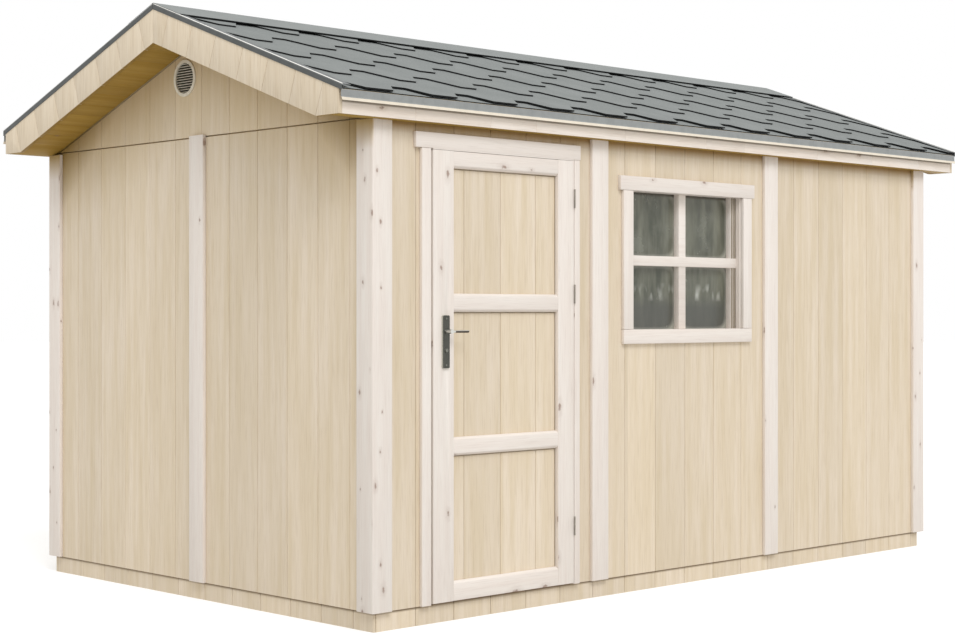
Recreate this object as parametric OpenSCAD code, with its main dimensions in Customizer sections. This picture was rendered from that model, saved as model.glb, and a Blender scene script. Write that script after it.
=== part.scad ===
// Wooden garden shed with a gable roof, a framed door and a four-light window.
// Millimetres, +Z up. The origin is on the ground under the middle of the shed.
// +X runs along the front wall, and the front looks towards -Y.

/* [Walls] */
// Length of the clad walls along the front
shed_l = 3900; // [3500:10:4800]
// Depth of the clad walls from front to back
shed_d = 2400; // [2000:10:3000]
// Thickness of the cladding boards
clad_t = 18; // [14:1:28]
// Depth of the wall studs, from the cladding inwards
stud_d = 60; // [45:1:95]
// Width of the wall studs
stud_w = 45; // [28:1:60]
// Height of the sole plates and top plates
plate_h = 45; // [28:1:60]
// Open joint between neighbouring wall panels
panel_gap = 2; // [1:0.5:4]
// Shadow gap where two pieces are butted together
butt_gap = 1; // [0.5:0.5:2]
// Open joint between an end wall and its gable
gable_joint = 6; // [3:1:12]
// How far that joint lies below the top of the long walls
gable_joint_drop = 7; // [4:1:12]
// How far the end top plates stand up behind the gable joint
gable_lap = 12; // [6:1:16]

/* [Base and floor] */
// Height of the base bearers
base_h = 78; // [50:1:120]
// Width of the base bearers
bearer_w = 45; // [35:1:70]
// How far the base lies behind the face of the cladding
base_inset = 7; // [3:1:12]
// Thickness of the floor boards
floor_t = 18; // [15:1:28]
// Number of floor joists
joist_count = 5; // [3:1:9]

/* [Trim] */
// Thickness of all trim boards
trim_t = 18; // [12:1:25]
// Width of a corner trim on each face
corner_w = 102; // [70:1:130]
// Radius of the outer edge of a corner trim
corner_r = 8; // [3:1:10]
// Width of the battens over the panel joints
batten_w = 105; // [70:1:125]
// How far the end wall batten stands up over the gable joint
batten_lap = 5; // [2:1:15]
// Middle of the end wall batten, from the middle of the shed
end_batten_y = -20; // [-150:1:150]

/* [Door] */
// Distance from the left corner of the cladding to the door leaf
door_from_corner = 306; // [250:1:500]
// Width of the door leaf
door_w = 834; // [700:1:950]
// Height of the door leaf
door_h = 1846; // [1600:1:2050]
// Running gap round the door leaf
door_gap = 5; // [5:0.5:8]
// Gap at the hinge edge of the leaf
hinge_gap = 3; // [2:0.5:6]
// Wall height left above the doorway
over_door_h = 110; // [95:1:250]
// Distance from the hinge edge of the leaf to the first panel joint
door_to_joint = 172; // [130:1:300]
// How far the face of the leaf lies behind the face of the trim
leaf_set = 2; // [0:0.5:6]
// Thickness of the boards of the leaf
door_board_t = 18; // [14:1:24]
// Thickness of the stiles and rails on the boards
door_frame_t = 20; // [14:1:28]
// Width of the lock stile
lock_stile_w = 114; // [95:1:140]
// Width of the hinge stile
hinge_stile_w = 99; // [80:1:130]
// Height of the bottom rail
bottom_rail_h = 81; // [60:1:140]
// Height of the two middle rails
mid_rail_h = 76; // [60:1:120]
// Height of the top rail
top_rail_h = 70; // [55:1:120]
// Width of the trim on the lock side of the doorway
lock_trim_w = 50; // [40:1:70]
// Step between the doorway and the trim on the lock side
lock_trim_step = 7; // [0:1:12]
// Width of the trim on the hinge side of the doorway
hinge_trim_w = 34; // [30:1:50]
// Height of the trim over the doorway
door_head_h = 64; // [50:1:90]
// How far the head trim reaches past the lock side trim
door_head_lock_over = 33; // [0:1:60]
// How far the head trim reaches past the hinge side trim
door_head_hinge_over = 6; // [0:1:20]
// Width of the stops behind the leaf
stop_w = 18; // [12:1:28]

/* [Door hardware] */
// Height of each hinge
hinge_h = 82; // [60:1:110]
// Radius of the hinge knuckle
hinge_r = 3; // [2.5:0.5:6]
// Depth of each hinge flap in the gap
hinge_flap_w = 16; // [10:1:17]
// Thickness of the hinge flaps
hinge_flap_t = 1.1; // [0.8:0.1:1.2]
// Clearance between the two halves of a hinge
hinge_clear = 0.5; // [0.4:0.1:1]
// Middle of the top hinge, below the top of the leaf
hinge_top_drop = 165; // [100:1:250]
// Middle of the centre hinge, below the top of the leaf
hinge_mid_drop = 582; // [450:1:800]
// Middle of the bottom hinge, above the bottom of the leaf
hinge_low_rise = 250; // [150:1:350]
// Distance from the lock edge of the leaf to the lever spindle
lever_in = 65; // [50:1:75]
// Height of the lever spindle above the bottom of the leaf
lever_rise = 1106; // [950:1:1200]
// Length of the lever from its spindle to its tip
lever_l = 99; // [80:1:130]
// Radius of the lever bar
lever_r = 5.5; // [4:0.5:10]
// Radius of the lever neck and its spindle
neck_r = 8.5; // [7:0.5:11]
// Running clearance round the lever neck
neck_clear = 0.3; // [0.2:0.1:0.8]
// Free space round the spindle inside the leaf
spindle_clear = 5.5; // [5:0.5:8]
// Distance from the lock plate to the middle of the lever bar
lever_stand = 30; // [26:1:40]
// Width of the lock plates
lock_plate_w = 38; // [32:1:46]
// Height of the lock plates
lock_plate_h = 216; // [180:1:260]
// Thickness of the lock plates
lock_plate_t = 8; // [4:1:10]
// Corner radius of the lock plates
lock_plate_r = 6; // [2:1:10]
// Distance from the spindle to the top of the lock plate
lock_plate_up = 66; // [40:1:80]
// Distance from the spindle down to the key cylinder
key_drop = 77; // [60:1:92]
// Radius of the key cylinder
key_r = 9; // [7:0.5:12]
// How far the key cylinder stands out of the plate
key_out = 4; // [2:0.5:8]

/* [Window] */
// Width of the window opening
win_w = 803; // [600:1:1000]
// Height of the window opening
win_h = 630; // [450:1:800]
// Distance from the panel joints to the window opening
win_margin = 222; // [190:1:300]
// Wall height left above the window opening
over_win_h = 225; // [170:1:350]
// Thickness of the window lining
lining_t = 20; // [14:1:28]
// Width of the trim round the window
win_trim_w = 65; // [50:1:85]
// How far the trim over the window reaches past the side trims
win_head_over = 22; // [0:1:30]
// Width of the upright window bar
bar_w = 50; // [30:1:60]
// Height of the level window bar
bar_h = 46; // [30:1:60]
// Depth of the window bars
bar_d = 32; // [18:1:40]
// Width of the upright at each side of the panes
sash_w = 36; // [20:1:60]
// How far the cross bar stands in front of the uprights
cross_out = 4; // [0:1:8]
// Distance from the face of the cladding to the window bars
bar_set = 32; // [10:1:36]
// Thickness of the glass
glass_t = 4; // [3:1:6]

/* [Gable vents] */
// Outer radius of the vent rim
vent_r = 82; // [60:1:95]
// Width of the vent rim
vent_rim_w = 14; // [10:1:20]
// How far the rim stands out of the gable
vent_out = 6; // [3:1:12]
// Number of vent slats
vent_slats = 11; // [7:1:13]
// Slope of the vent slats
vent_slat_angle = 40; // [25:1:50]
// Thickness of a vent slat
vent_slat_t = 2.5; // [2:0.5:4]
// Gap between the vent body and its hole
vent_fit = 0.5; // [0.3:0.1:1]
// Distance of the vents from the middle of the gable, towards the back
vent_y = 86; // [0:1:120]
// Distance of the vents below the underside of the ridge
vent_drop = 166; // [145:1:200]

/* [Roof] */
// Slope of the roof
roof_pitch = 19.8; // [15:0.1:25]
// Overhang of the roof at the gable ends
gable_over = 228; // [150:1:350]
// Overhang of the fascia at the eaves
eave_over = 61; // [45:1:120]
// How far the roof deck reaches past the fascia
deck_nose = 14; // [8:1:30]
// Depth of the rafters
rafter_d = 86; // [70:1:120]
// Width of the rafters
rafter_w = 45; // [35:1:60]
// Number of rafter pairs
rafter_count = 7; // [5:1:11]
// Thickness of the ridge beam
ridge_t = 30; // [24:1:50]
// How far the ridge beam hangs below the rafters
ridge_drop = 30; // [10:1:60]
// Thickness of the roof deck
deck_t = 16; // [15:1:24]
// Thickness of the sloping soffits under the gable overhangs
soffit_t = 16; // [12:1:20]
// Thickness of the level soffits under the eaves
eave_soffit_t = 12; // [8:1:16]
// Thickness of the bargeboards and fascia boards
barge_t = 18; // [15:1:25]
// How far the bargeboards hang below the sloping soffits
barge_drop = 22; // [10:1:40]
// Gap where roof pieces meet at the ridge
ridge_gap = 2; // [1:0.5:4]
// Free play between the sloping layers of the roof
roof_fit = 0.3; // [0.2:0.1:0.8]
// Thickness of the felt shingles
shingle_t = 6.5; // [3:0.5:7]
// Free height between two lapped courses of shingles
shingle_fit = 0.3; // [0.2:0.1:1]
// How far the shingles reach past the roof deck
shingle_nose = 5; // [3:1:12]
// Distance from one course of shingles to the next, down the slope
course_pitch = 275; // [200:1:320]
// Distance from the ridge to the notches of the first course
first_course = 168; // [120:1:180]
// Length of a shingle above its notches
course_lap = 290; // [280:1:400]
// Depth of the shingle tabs
tab_d = 120; // [80:1:140]
// Width of the flat between two tabs
notch_w = 75; // [40:1:120]
// Width of the flat end of a tab
tab_w = 90; // [60:1:140]
// Width of the sloping edge on the left of a tab
tab_left_w = 100; // [60:1:130]
// Width of the sloping edge on the right of a tab
tab_right_w = 82; // [60:1:130]
// Distance from the left verge to the first notch
first_notch = 322; // [0:1:400]
// Thickness of the starter strip along the eaves
starter_t = 4; // [2:0.5:4.5]
// Width of the starter strip
starter_w = 170; // [120:1:180]
// Width of the ridge cap on each slope
cap_w = 205; // [150:1:260]
// Thickness of the ridge cap
cap_t = 4; // [3:1:10]

/* [Flashings] */
// Thickness of the flashings
flash_t = 2; // [1:0.5:3]
// Width of the verge flashings on the shingles
verge_flat = 45; // [25:1:80]
// Height of the upright face of the verge flashings
verge_face = 22; // [18:1:60]
// Height of the upright face of the eave flashings
eave_face = 26; // [18:1:45]
// Height of the drip lip below that face
drip_h = 17; // [8:1:25]
// How far the drip lip stands out
drip_out = 9; // [4:1:16]

/* [Hidden] */
$fn = 64;

// Colours
clad_c = "#e3d6bf";
trim_c = "#ece3d4";
frame_c = "#cfae84";
soffit_c = "#c9a677";
felt_c = "#6d706c";
flash_c = "#9a9c9c";
steel_c = "#4b4d50";
glass_c = "#9fb0ac";

// Faces of the walls, as distances from the middle of the shed
half_l = shed_l / 2;
half_d = shed_d / 2;
frame_l = half_l - clad_t;
frame_d = half_d - clad_t;
room_l = frame_l - stud_d;
room_d = frame_d - stud_d;

// Places along the front wall, from left to right
leaf_x0 = -half_l + door_from_corner;
leaf_x1 = leaf_x0 + door_w;
open_x0 = leaf_x0 - door_gap;
open_x1 = leaf_x1 + hinge_gap;
joint1_x = leaf_x1 + door_to_joint;
win_x0 = joint1_x + win_margin;
win_x1 = win_x0 + win_w;
joint2_x = win_x1 + win_margin;

// Heights
leaf_z0 = base_h + door_gap;
leaf_z1 = leaf_z0 + door_h;
open_z1 = leaf_z1 + door_gap;
wall_top = open_z1 + over_door_h;
eave_z = wall_top - eave_soffit_t;
end_joint_z = wall_top - gable_joint_drop;
gable_z = end_joint_z + gable_joint;
win_z1 = wall_top - over_win_h;
win_z0 = win_z1 - win_h;
sole_top = base_h + plate_h;
long_plate_z = wall_top - plate_h;
end_plate_top = wall_top + gable_lap;
end_plate_z = end_plate_top - plate_h;

// Depths through the front wall, from the outside to the inside
trim_y = -half_d - trim_t;
leaf_y0 = trim_y + leaf_set;
leaf_frame_y = leaf_y0 + door_frame_t;
leaf_y1 = leaf_frame_y + door_board_t;
stop_y = leaf_y1 + door_gap;

// Door hardware
hinge_x = leaf_x1 + hinge_gap / 2;
hinge_y = trim_y - hinge_r - hinge_clear;
hinge_zs = [leaf_z0 + hinge_low_rise, leaf_z1 - hinge_mid_drop, leaf_z1 - hinge_top_drop];
lever_x = leaf_x0 + lever_in;
lever_z = leaf_z0 + lever_rise;

// Faces of the roof, as distances from the middle of the shed
fascia_y = half_d + eave_over;
fascia_back = fascia_y - barge_t;
deck_y = fascia_y + deck_nose;
verge_x = half_l + gable_over;
barge_x = verge_x - barge_t;

// Layers of the roof, square to the slope and counted from the underside of the rafters
rafter_hi = rafter_d;
deck_lo = rafter_hi + roof_fit;
deck_hi = deck_lo + deck_t;
shingle_lo = deck_hi + roof_fit;
// Each course rises enough to lie on the one below it
course_l = course_lap + tab_d;
course_rise = (shingle_t + shingle_fit) * course_l / course_pitch;
shingle_hi = shingle_lo + course_rise + shingle_t;
verge_lo = shingle_hi + roof_fit;
verge_hi = verge_lo + flash_t;
cap_lo = verge_hi + roof_fit;
cap_hi = cap_lo + cap_t;

// Height of a roof layer at a distance y from the ridge
function roof_z(y, layer) = wall_top + (half_d - abs(y)) * tan(roof_pitch) + layer / cos(roof_pitch);

// Evenly spaced places from the first to the last
function spread(first, last, count) = [for (i = [0:count - 1]) first + (last - first) * i / (count - 1)];

module block(lo, hi) {
    translate(lo) cube(hi - lo);
}

// Extrudes a section drawn as [y, z] from x0 to x1
module along_x(x0, x1) {
    translate([x0, 0, 0]) rotate([90, 0, 90]) linear_extrude(x1 - x0) children();
}

module front_and_back() {
    children();
    mirror([0, 1, 0]) children();
}

module both_ends() {
    children();
    mirror([1, 0, 0]) children();
}

// Section of a roof layer between two distances from the ridge, with plumb ends
module slope_strip(y0, y1, lo, hi) {
    polygon([
        [y0, roof_z(y0, lo)], [y1, roof_z(y1, lo)],
        [y1, roof_z(y1, hi)], [y0, roof_z(y0, hi)]
    ]);
}

// A piece of front wall cladding
module front_clad(x0, x1, z0, z1) {
    block([x0, -half_d, z0], [x1, -frame_d, z1]);
}

// A trim board on the face of the front wall
module front_trim(x0, x1, z0, z1) {
    block([x0, trim_y, z0], [x1, -half_d, z1]);
}

// Base and floor

module base_bearers() color(clad_c) {
    out_l = half_l - base_inset;
    out_d = half_d - base_inset;
    front_and_back() block([-out_l, out_d - bearer_w, 0], [out_l, out_d, base_h]);
    both_ends() block(
        [out_l - bearer_w, -out_d + bearer_w + butt_gap, 0],
        [out_l, out_d - bearer_w - butt_gap, base_h]);
}

floor_l = half_l - base_inset - bearer_w;
floor_d = half_d - base_inset - bearer_w;

module floor_joists() color(frame_c) {
    spacing = 2 * floor_l / (joist_count + 1);
    for (i = [1:joist_count])
        block([-floor_l + i * spacing - stud_w / 2, -floor_d, 0],
              [-floor_l + i * spacing + stud_w / 2, floor_d, base_h - floor_t]);
}

module floor_boards() color(frame_c) {
    block([-floor_l, -floor_d, base_h - floor_t], [floor_l, floor_d, base_h]);
}

// Walls

module front_wall_left() color(clad_c) front_clad(-half_l, open_x0, base_h, wall_top);

module front_wall_over_door() color(clad_c) front_clad(open_x0, open_x1, open_z1, wall_top);

module front_wall_by_door() color(clad_c)
    front_clad(open_x1, joint1_x - panel_gap / 2, base_h, wall_top);

module front_wall_window() color(clad_c) difference() {
    front_clad(joint1_x + panel_gap / 2, joint2_x - panel_gap / 2, base_h, wall_top);
    block([win_x0 - lining_t, -half_d - 1, win_z0 - lining_t],
          [win_x1 + lining_t, -frame_d + 1, win_z1 + lining_t]);
}

module front_wall_right() color(clad_c)
    front_clad(joint2_x + panel_gap / 2, half_l, base_h, wall_top);

module back_wall() color(clad_c) mirror([0, 1, 0]) {
    front_clad(-half_l, joint1_x - panel_gap / 2, base_h, wall_top);
    front_clad(joint1_x + panel_gap / 2, joint2_x - panel_gap / 2, base_h, wall_top);
    front_clad(joint2_x + panel_gap / 2, half_l, base_h, wall_top);
}

// The two panels of one end wall, on the +X side
module end_wall() {
    block([frame_l, -frame_d, base_h], [half_l, end_batten_y - panel_gap / 2, end_joint_z]);
    block([frame_l, end_batten_y + panel_gap / 2, base_h], [half_l, frame_d, end_joint_z]);
}

module left_wall() color(clad_c) mirror([1, 0, 0]) end_wall();

module right_wall() color(clad_c) end_wall();

vent_z = roof_z(0, 0) - vent_drop;
vent_hole_r = vent_r - vent_rim_w + vent_fit + vent_slat_t;

// One gable with the hole for its vent, on the +X side
module gable() difference() {
    along_x(frame_l, half_l) polygon([
        [-frame_d, gable_z], [frame_d, gable_z], [frame_d, roof_z(frame_d, rafter_hi)],
        [0, roof_z(0, rafter_hi)], [-frame_d, roof_z(frame_d, rafter_hi)]
    ]);
    translate([frame_l - 1, vent_y, vent_z]) rotate([0, 90, 0]) cylinder(h = clad_t + 2, r = vent_hole_r);
}

module left_gable() color(clad_c) mirror([1, 0, 0]) gable();

module right_gable() color(clad_c) gable();

// Studs and plates

module studs_along(xs) {
    for (x = xs)
        block([x - stud_w / 2, room_d, sole_top], [x + stud_w / 2, frame_d, long_plate_z]);
}

corner_stud_x = frame_l - stud_w / 2;

module front_studs() color(frame_c) mirror([0, 1, 0]) studs_along([
    -corner_stud_x, joint1_x, win_x0 - lining_t - stud_w / 2, win_x1 + lining_t + stud_w / 2,
    joint2_x, (joint2_x + half_l) / 2, corner_stud_x
]);

module back_studs() color(frame_c) studs_along([
    -corner_stud_x, (joint1_x - half_l) / 2, joint1_x, (joint1_x + joint2_x) / 2,
    joint2_x, (joint2_x + half_l) / 2, corner_stud_x
]);

module end_studs() color(frame_c) both_ends()
    for (y = [-room_d + stud_w, (end_batten_y - room_d) / 2, end_batten_y,
              (end_batten_y + room_d) / 2, room_d - stud_w])
        block([room_l, y - stud_w / 2, sole_top], [frame_l, y + stud_w / 2, end_plate_z]);

module top_plates() color(frame_c) {
    front_and_back() along_x(-frame_l, frame_l) polygon([
        [room_d, long_plate_z], [frame_d, long_plate_z],
        [frame_d, roof_z(frame_d, -roof_fit)], [room_d, roof_z(room_d, -roof_fit)]
    ]);
    both_ends() block(
        [room_l, -room_d + butt_gap, end_plate_z], [frame_l, room_d - butt_gap, end_plate_top]);
}

module sole_plates() color(frame_c) {
    block([-frame_l, room_d, base_h], [frame_l, frame_d, sole_top]);
    block([-frame_l, -frame_d, base_h], [open_x0 - stud_w, -room_d, sole_top]);
    block([open_x1 + stud_w, -frame_d, base_h], [frame_l, -room_d, sole_top]);
    both_ends() block(
        [room_l, -room_d + butt_gap, base_h], [frame_l, room_d - butt_gap, sole_top]);
}

// Corner trims and battens

module corner_trims() color(trim_c) front_and_back() both_ends()
    translate([half_l + trim_t, half_d + trim_t, base_h]) mirror([1, 0, 0]) mirror([0, 1, 0])
        linear_extrude(eave_z - base_h) {
            translate([corner_r, 0]) square([corner_w - corner_r, trim_t]);
            translate([0, corner_r]) square([trim_t, corner_w - corner_r]);
            translate([corner_r, corner_r]) circle(corner_r);
        }

module wall_battens() color(trim_c) {
    front_and_back() for (x = [joint1_x, joint2_x])
        front_trim(x - batten_w / 2, x + batten_w / 2, base_h, eave_z);
    both_ends() block(
        [half_l, end_batten_y - batten_w / 2, base_h],
        [half_l + trim_t, end_batten_y + batten_w / 2, gable_z + batten_lap]);
}

// Doorway

module door_posts() color(frame_c) {
    block([open_x0 - stud_w, -frame_d, base_h], [open_x0, -room_d, open_z1]);
    block([open_x1, -frame_d, base_h], [open_x1 + stud_w, -room_d, open_z1]);
}

module door_lintel() color(frame_c)
    block([open_x0 - stud_w, -frame_d, open_z1], [open_x1 + stud_w, -room_d, open_z1 + plate_h]);

module door_stops() color(trim_c) {
    top = open_z1 - stop_w;
    block([open_x0, stop_y, base_h], [open_x0 + stop_w, -room_d, top - butt_gap]);
    block([open_x1 - stop_w, stop_y, base_h], [open_x1, -room_d, top - butt_gap]);
    block([open_x0, stop_y, top], [open_x1, -room_d, open_z1]);
}

module door_threshold() color(frame_c)
    block([open_x0 + stop_w, stop_y, base_h], [open_x1 - stop_w, -room_d, base_h + stop_w]);

lock_trim_x1 = open_x0 - lock_trim_step;
lock_trim_x0 = lock_trim_x1 - lock_trim_w;
hinge_trim_x1 = open_x1 + hinge_trim_w;

module door_trims() color(trim_c) {
    front_trim(lock_trim_x0, lock_trim_x1, base_h, open_z1 - butt_gap);
    front_trim(open_x1, hinge_trim_x1, base_h, open_z1 - butt_gap);
    front_trim(lock_trim_x0 - door_head_lock_over, hinge_trim_x1 + door_head_hinge_over,
               open_z1, open_z1 + door_head_h);
}

// Hinges

// One half of a butt hinge on the +X side of its axis, with its knuckle from z0 to z1
module hinge_half(z0, z1) {
    edge = hinge_gap / 2;
    face = hinge_r + hinge_clear;
    translate([0, 0, z0]) cylinder(h = z1 - z0, r = hinge_r);
    block([edge - hinge_flap_t, 0, z0], [edge, face, z1]);
    block([edge - hinge_flap_t, face, 0], [edge, face + hinge_flap_w, hinge_h]);
}

module door_hinges_frame() color(steel_c)
    for (z = hinge_zs) translate([hinge_x, hinge_y, z - hinge_h / 2])
        hinge_half(0, hinge_h / 2 - hinge_clear);

module door_hinges_leaf() color(steel_c)
    for (z = hinge_zs) translate([hinge_x, hinge_y, z - hinge_h / 2]) mirror([1, 0, 0])
        hinge_half(hinge_h / 2, hinge_h);

// Door leaf

// A round hole along Y through the leaf at the lever spindle
module spindle_hole(r) {
    translate([lever_x, leaf_y0 - lock_plate_t - 1, lever_z]) rotate([-90, 0, 0])
        cylinder(h = leaf_y1 - leaf_y0 + 2 * lock_plate_t + 2, r = r);
}

module door_boards() color(clad_c) difference() {
    block([leaf_x0, leaf_frame_y, leaf_z0], [leaf_x1, leaf_y1, leaf_z1]);
    spindle_hole(neck_r + spindle_clear);
}

module door_stiles() color(trim_c) difference() {
    union() {
        block([leaf_x0, leaf_y0, leaf_z0], [leaf_x0 + lock_stile_w, leaf_frame_y, leaf_z1]);
        block([leaf_x1 - hinge_stile_w, leaf_y0, leaf_z0], [leaf_x1, leaf_frame_y, leaf_z1]);
    }
    spindle_hole(neck_r + spindle_clear);
}

// Three equal panels lie between the four rails
door_panel_h = (door_h - bottom_rail_h - 2 * mid_rail_h - top_rail_h) / 3;

module door_rail(z, h) {
    block([leaf_x0 + lock_stile_w, leaf_y0, z], [leaf_x1 - hinge_stile_w, leaf_frame_y, z + h]);
}

module door_rails() color(trim_c) {
    door_rail(leaf_z0, bottom_rail_h);
    for (i = [0:1])
        door_rail(leaf_z0 + bottom_rail_h + door_panel_h + i * (mid_rail_h + door_panel_h), mid_rail_h);
    door_rail(leaf_z1 - top_rail_h, top_rail_h);
}

// Plate outline with round corners, from its spindle
module lock_plate_outline() {
    translate([-lock_plate_w / 2, lock_plate_up - lock_plate_h]) {
        translate([lock_plate_r, 0]) square([lock_plate_w - 2 * lock_plate_r, lock_plate_h]);
        translate([0, lock_plate_r]) square([lock_plate_w, lock_plate_h - 2 * lock_plate_r]);
        for (x = [lock_plate_r, lock_plate_w - lock_plate_r], z = [lock_plate_r, lock_plate_h - lock_plate_r])
            translate([x, z]) circle(lock_plate_r);
    }
}

// A lock plate with its key cylinder, standing out towards -Y from the spindle
module lock_plate() rotate([90, 0, 0]) difference() {
    union() {
        linear_extrude(lock_plate_t) lock_plate_outline();
        translate([0, -key_drop, 0]) cylinder(h = lock_plate_t + key_out, r = key_r);
    }
    translate([0, 0, -1]) cylinder(h = lock_plate_t + 2, r = neck_r + neck_clear);
}

module door_lock_plates() color(steel_c) {
    translate([lever_x, leaf_y0, lever_z]) lock_plate();
    translate([lever_x, leaf_y1, lever_z]) mirror([0, 1, 0]) lock_plate();
}

// A lever on each side of the leaf, on one spindle
module door_lever() color(steel_c) {
    bar_y0 = leaf_y0 - lock_plate_t - lever_stand;
    bar_y1 = leaf_y1 + lock_plate_t + lever_stand;
    translate([lever_x, bar_y0 - lever_r, lever_z]) rotate([-90, 0, 0])
        cylinder(h = bar_y1 - bar_y0 + 2 * lever_r, r = neck_r);
    for (y = [bar_y0, bar_y1]) translate([lever_x, y, lever_z]) {
        rotate([0, 90, 0]) cylinder(h = lever_l - lever_r, r = lever_r);
        translate([lever_l - lever_r, 0, 0]) sphere(lever_r);
    }
}

// Window

module window_lining() color(trim_c) {
    for (x = [win_x0 - lining_t, win_x1])
        block([x, -half_d, win_z0 + butt_gap], [x + lining_t, -room_d, win_z1 - butt_gap]);
    for (z = [win_z0 - lining_t, win_z1])
        block([win_x0 - lining_t, -half_d, z], [win_x1 + lining_t, -room_d, z + lining_t]);
}

module window_trims() color(trim_c) {
    front_trim(win_x0 - win_trim_w, win_x0, win_z0 + butt_gap, win_z1 - butt_gap);
    front_trim(win_x1, win_x1 + win_trim_w, win_z0 + butt_gap, win_z1 - butt_gap);
    front_trim(win_x0 - win_trim_w, win_x1 + win_trim_w, win_z0 - win_trim_w, win_z0);
    front_trim(win_x0 - win_trim_w - win_head_over, win_x1 + win_trim_w + win_head_over,
               win_z1, win_z1 + win_trim_w);
}

bar_y = -half_d + bar_set;

module window_bars() color(trim_c) {
    mid_x = (win_x0 + win_x1) / 2;
    mid_z = (win_z0 + win_z1) / 2;
    for (x = [win_x0 + sash_w / 2, win_x1 - sash_w / 2])
        block([x - sash_w / 2, bar_y, win_z0], [x + sash_w / 2, bar_y + bar_d, win_z1]);
    block([mid_x - bar_w / 2, bar_y, win_z0], [mid_x + bar_w / 2, bar_y + bar_d, win_z1]);
    block([win_x0, bar_y - cross_out, mid_z - bar_h / 2], [win_x1, bar_y + bar_d, mid_z + bar_h / 2]);
}

module window_glass() color(glass_c, 0.5)
    block([win_x0, bar_y + bar_d, win_z0], [win_x1, bar_y + bar_d + glass_t, win_z1]);

// Gable vents

module gable_vents() color(trim_c) both_ends()
    translate([half_l, vent_y, vent_z]) rotate([0, 90, 0]) {
        inner_r = vent_r - vent_rim_w;
        difference() {
            union() {
                cylinder(h = vent_out, r = vent_r);
                translate([0, 0, -clad_t]) cylinder(h = clad_t, r = inner_r + vent_slat_t);
            }
            translate([0, 0, -clad_t - 1]) cylinder(h = clad_t + vent_out + 2, r = inner_r);
        }
        intersection() {
            translate([0, 0, -clad_t]) cylinder(h = clad_t + vent_out, r = inner_r + vent_slat_t / 2);
            for (x = spread(-inner_r, inner_r, vent_slats + 2))
                translate([x, 0, (vent_out - clad_t) / 2]) rotate([0, vent_slat_angle, 0])
                    cube([vent_slat_t, 2 * vent_r, clad_t], center = true);
        }
    }

// Roof frame

module ridge_beam() color(frame_c) along_x(-frame_l, frame_l) polygon([
    [-ridge_t / 2, roof_z(0, 0) - ridge_drop], [ridge_t / 2, roof_z(0, 0) - ridge_drop],
    [ridge_t / 2, roof_z(ridge_t / 2, rafter_hi)], [0, roof_z(0, rafter_hi)],
    [-ridge_t / 2, roof_z(ridge_t / 2, rafter_hi)]
]);

module rafters() color(frame_c) front_and_back()
    for (x = spread(-frame_l, frame_l - rafter_w, rafter_count))
        along_x(x, x + rafter_w) polygon([
            [ridge_t / 2, roof_z(ridge_t / 2, 0)], [half_d, wall_top], [fascia_back, wall_top],
            [fascia_back, roof_z(fascia_back, rafter_hi)], [ridge_t / 2, roof_z(ridge_t / 2, rafter_hi)]
        ]);

module roof_deck() color(soffit_c) front_and_back()
    along_x(-barge_x, barge_x) slope_strip(ridge_gap / 2, deck_y, deck_lo, deck_hi);

// Eaves and gable overhangs

module eave_soffits() color(soffit_c) front_and_back()
    block([-barge_x, half_d, eave_z], [barge_x, fascia_back, wall_top]);

module gable_soffits() color(soffit_c) both_ends() front_and_back() {
    // Here the sloping underside comes down to the level of the eave soffits
    foot_y = half_d + (wall_top - eave_z - soffit_t / cos(roof_pitch)) / tan(roof_pitch);
    along_x(half_l, barge_x) polygon([
        [ridge_gap / 2, roof_z(ridge_gap / 2, -soffit_t)], [foot_y, eave_z], [half_d, eave_z],
        [half_d, wall_top], [ridge_gap / 2, roof_z(ridge_gap / 2, 0)]
    ]);
}

module fascias() color(trim_c) front_and_back()
    along_x(-barge_x, barge_x) polygon([
        [fascia_back, eave_z], [fascia_y, eave_z],
        [fascia_y, roof_z(fascia_y, rafter_hi)], [fascia_back, roof_z(fascia_back, rafter_hi)]
    ]);

module bargeboards() color(trim_c) both_ends() front_and_back() {
    low = -soffit_t - barge_drop;
    // Here the lower edge meets the level cut at the foot
    foot_y = half_d + (wall_top - eave_z + low / cos(roof_pitch)) / tan(roof_pitch);
    along_x(barge_x, verge_x) polygon([
        [ridge_gap / 2, roof_z(ridge_gap / 2, low)], [foot_y, eave_z], [fascia_y, eave_z],
        [fascia_y, roof_z(fascia_y, deck_hi)], [ridge_gap / 2, roof_z(ridge_gap / 2, deck_hi)]
    ]);
}

// Roof covering

tab_pitch = notch_w + tab_left_w + tab_w + tab_right_w;
shingle_y = deck_y + shingle_nose;
// Length of the covered slope, from the ridge to the eave; the lowest course leans out by its height
slope_l = (shingle_y - (course_rise + shingle_t) * sin(roof_pitch)) / cos(roof_pitch);
course_count = ceil((slope_l - first_course) / course_pitch);
shingle_x = verge_x - roof_fit;

// Outline of one course as [x, distance down from its upper edge], longer than the roof
module course_outline() {
    count = ceil(2 * verge_x / tab_pitch) + 1;
    polygon(concat(
        [for (i = [0:count - 1], x = [-verge_x + first_notch + (i - 1) * tab_pitch])
            each [
                [x, course_lap], [x + notch_w, course_lap],
                [x + notch_w + tab_left_w, course_l], [x + notch_w + tab_left_w + tab_w, course_l]
            ]],
        [[verge_x + 2 * tab_pitch, course_lap], [verge_x + 2 * tab_pitch, 0],
         [-verge_x - 2 * tab_pitch, 0], [-verge_x - 2 * tab_pitch, course_lap]]
    ));
}

// One course of shingles with its upper edge at a distance down the slope
module course(upper) {
    top = max(0, ridge_gap / 2 - upper);
    translate([0, upper, 0]) rotate([asin(course_rise / course_l), 0, 0]) linear_extrude(shingle_t)
        intersection() {
            course_outline();
            translate([-shingle_x, top]) square([2 * shingle_x, slope_l - upper - top]);
        }
}

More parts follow.
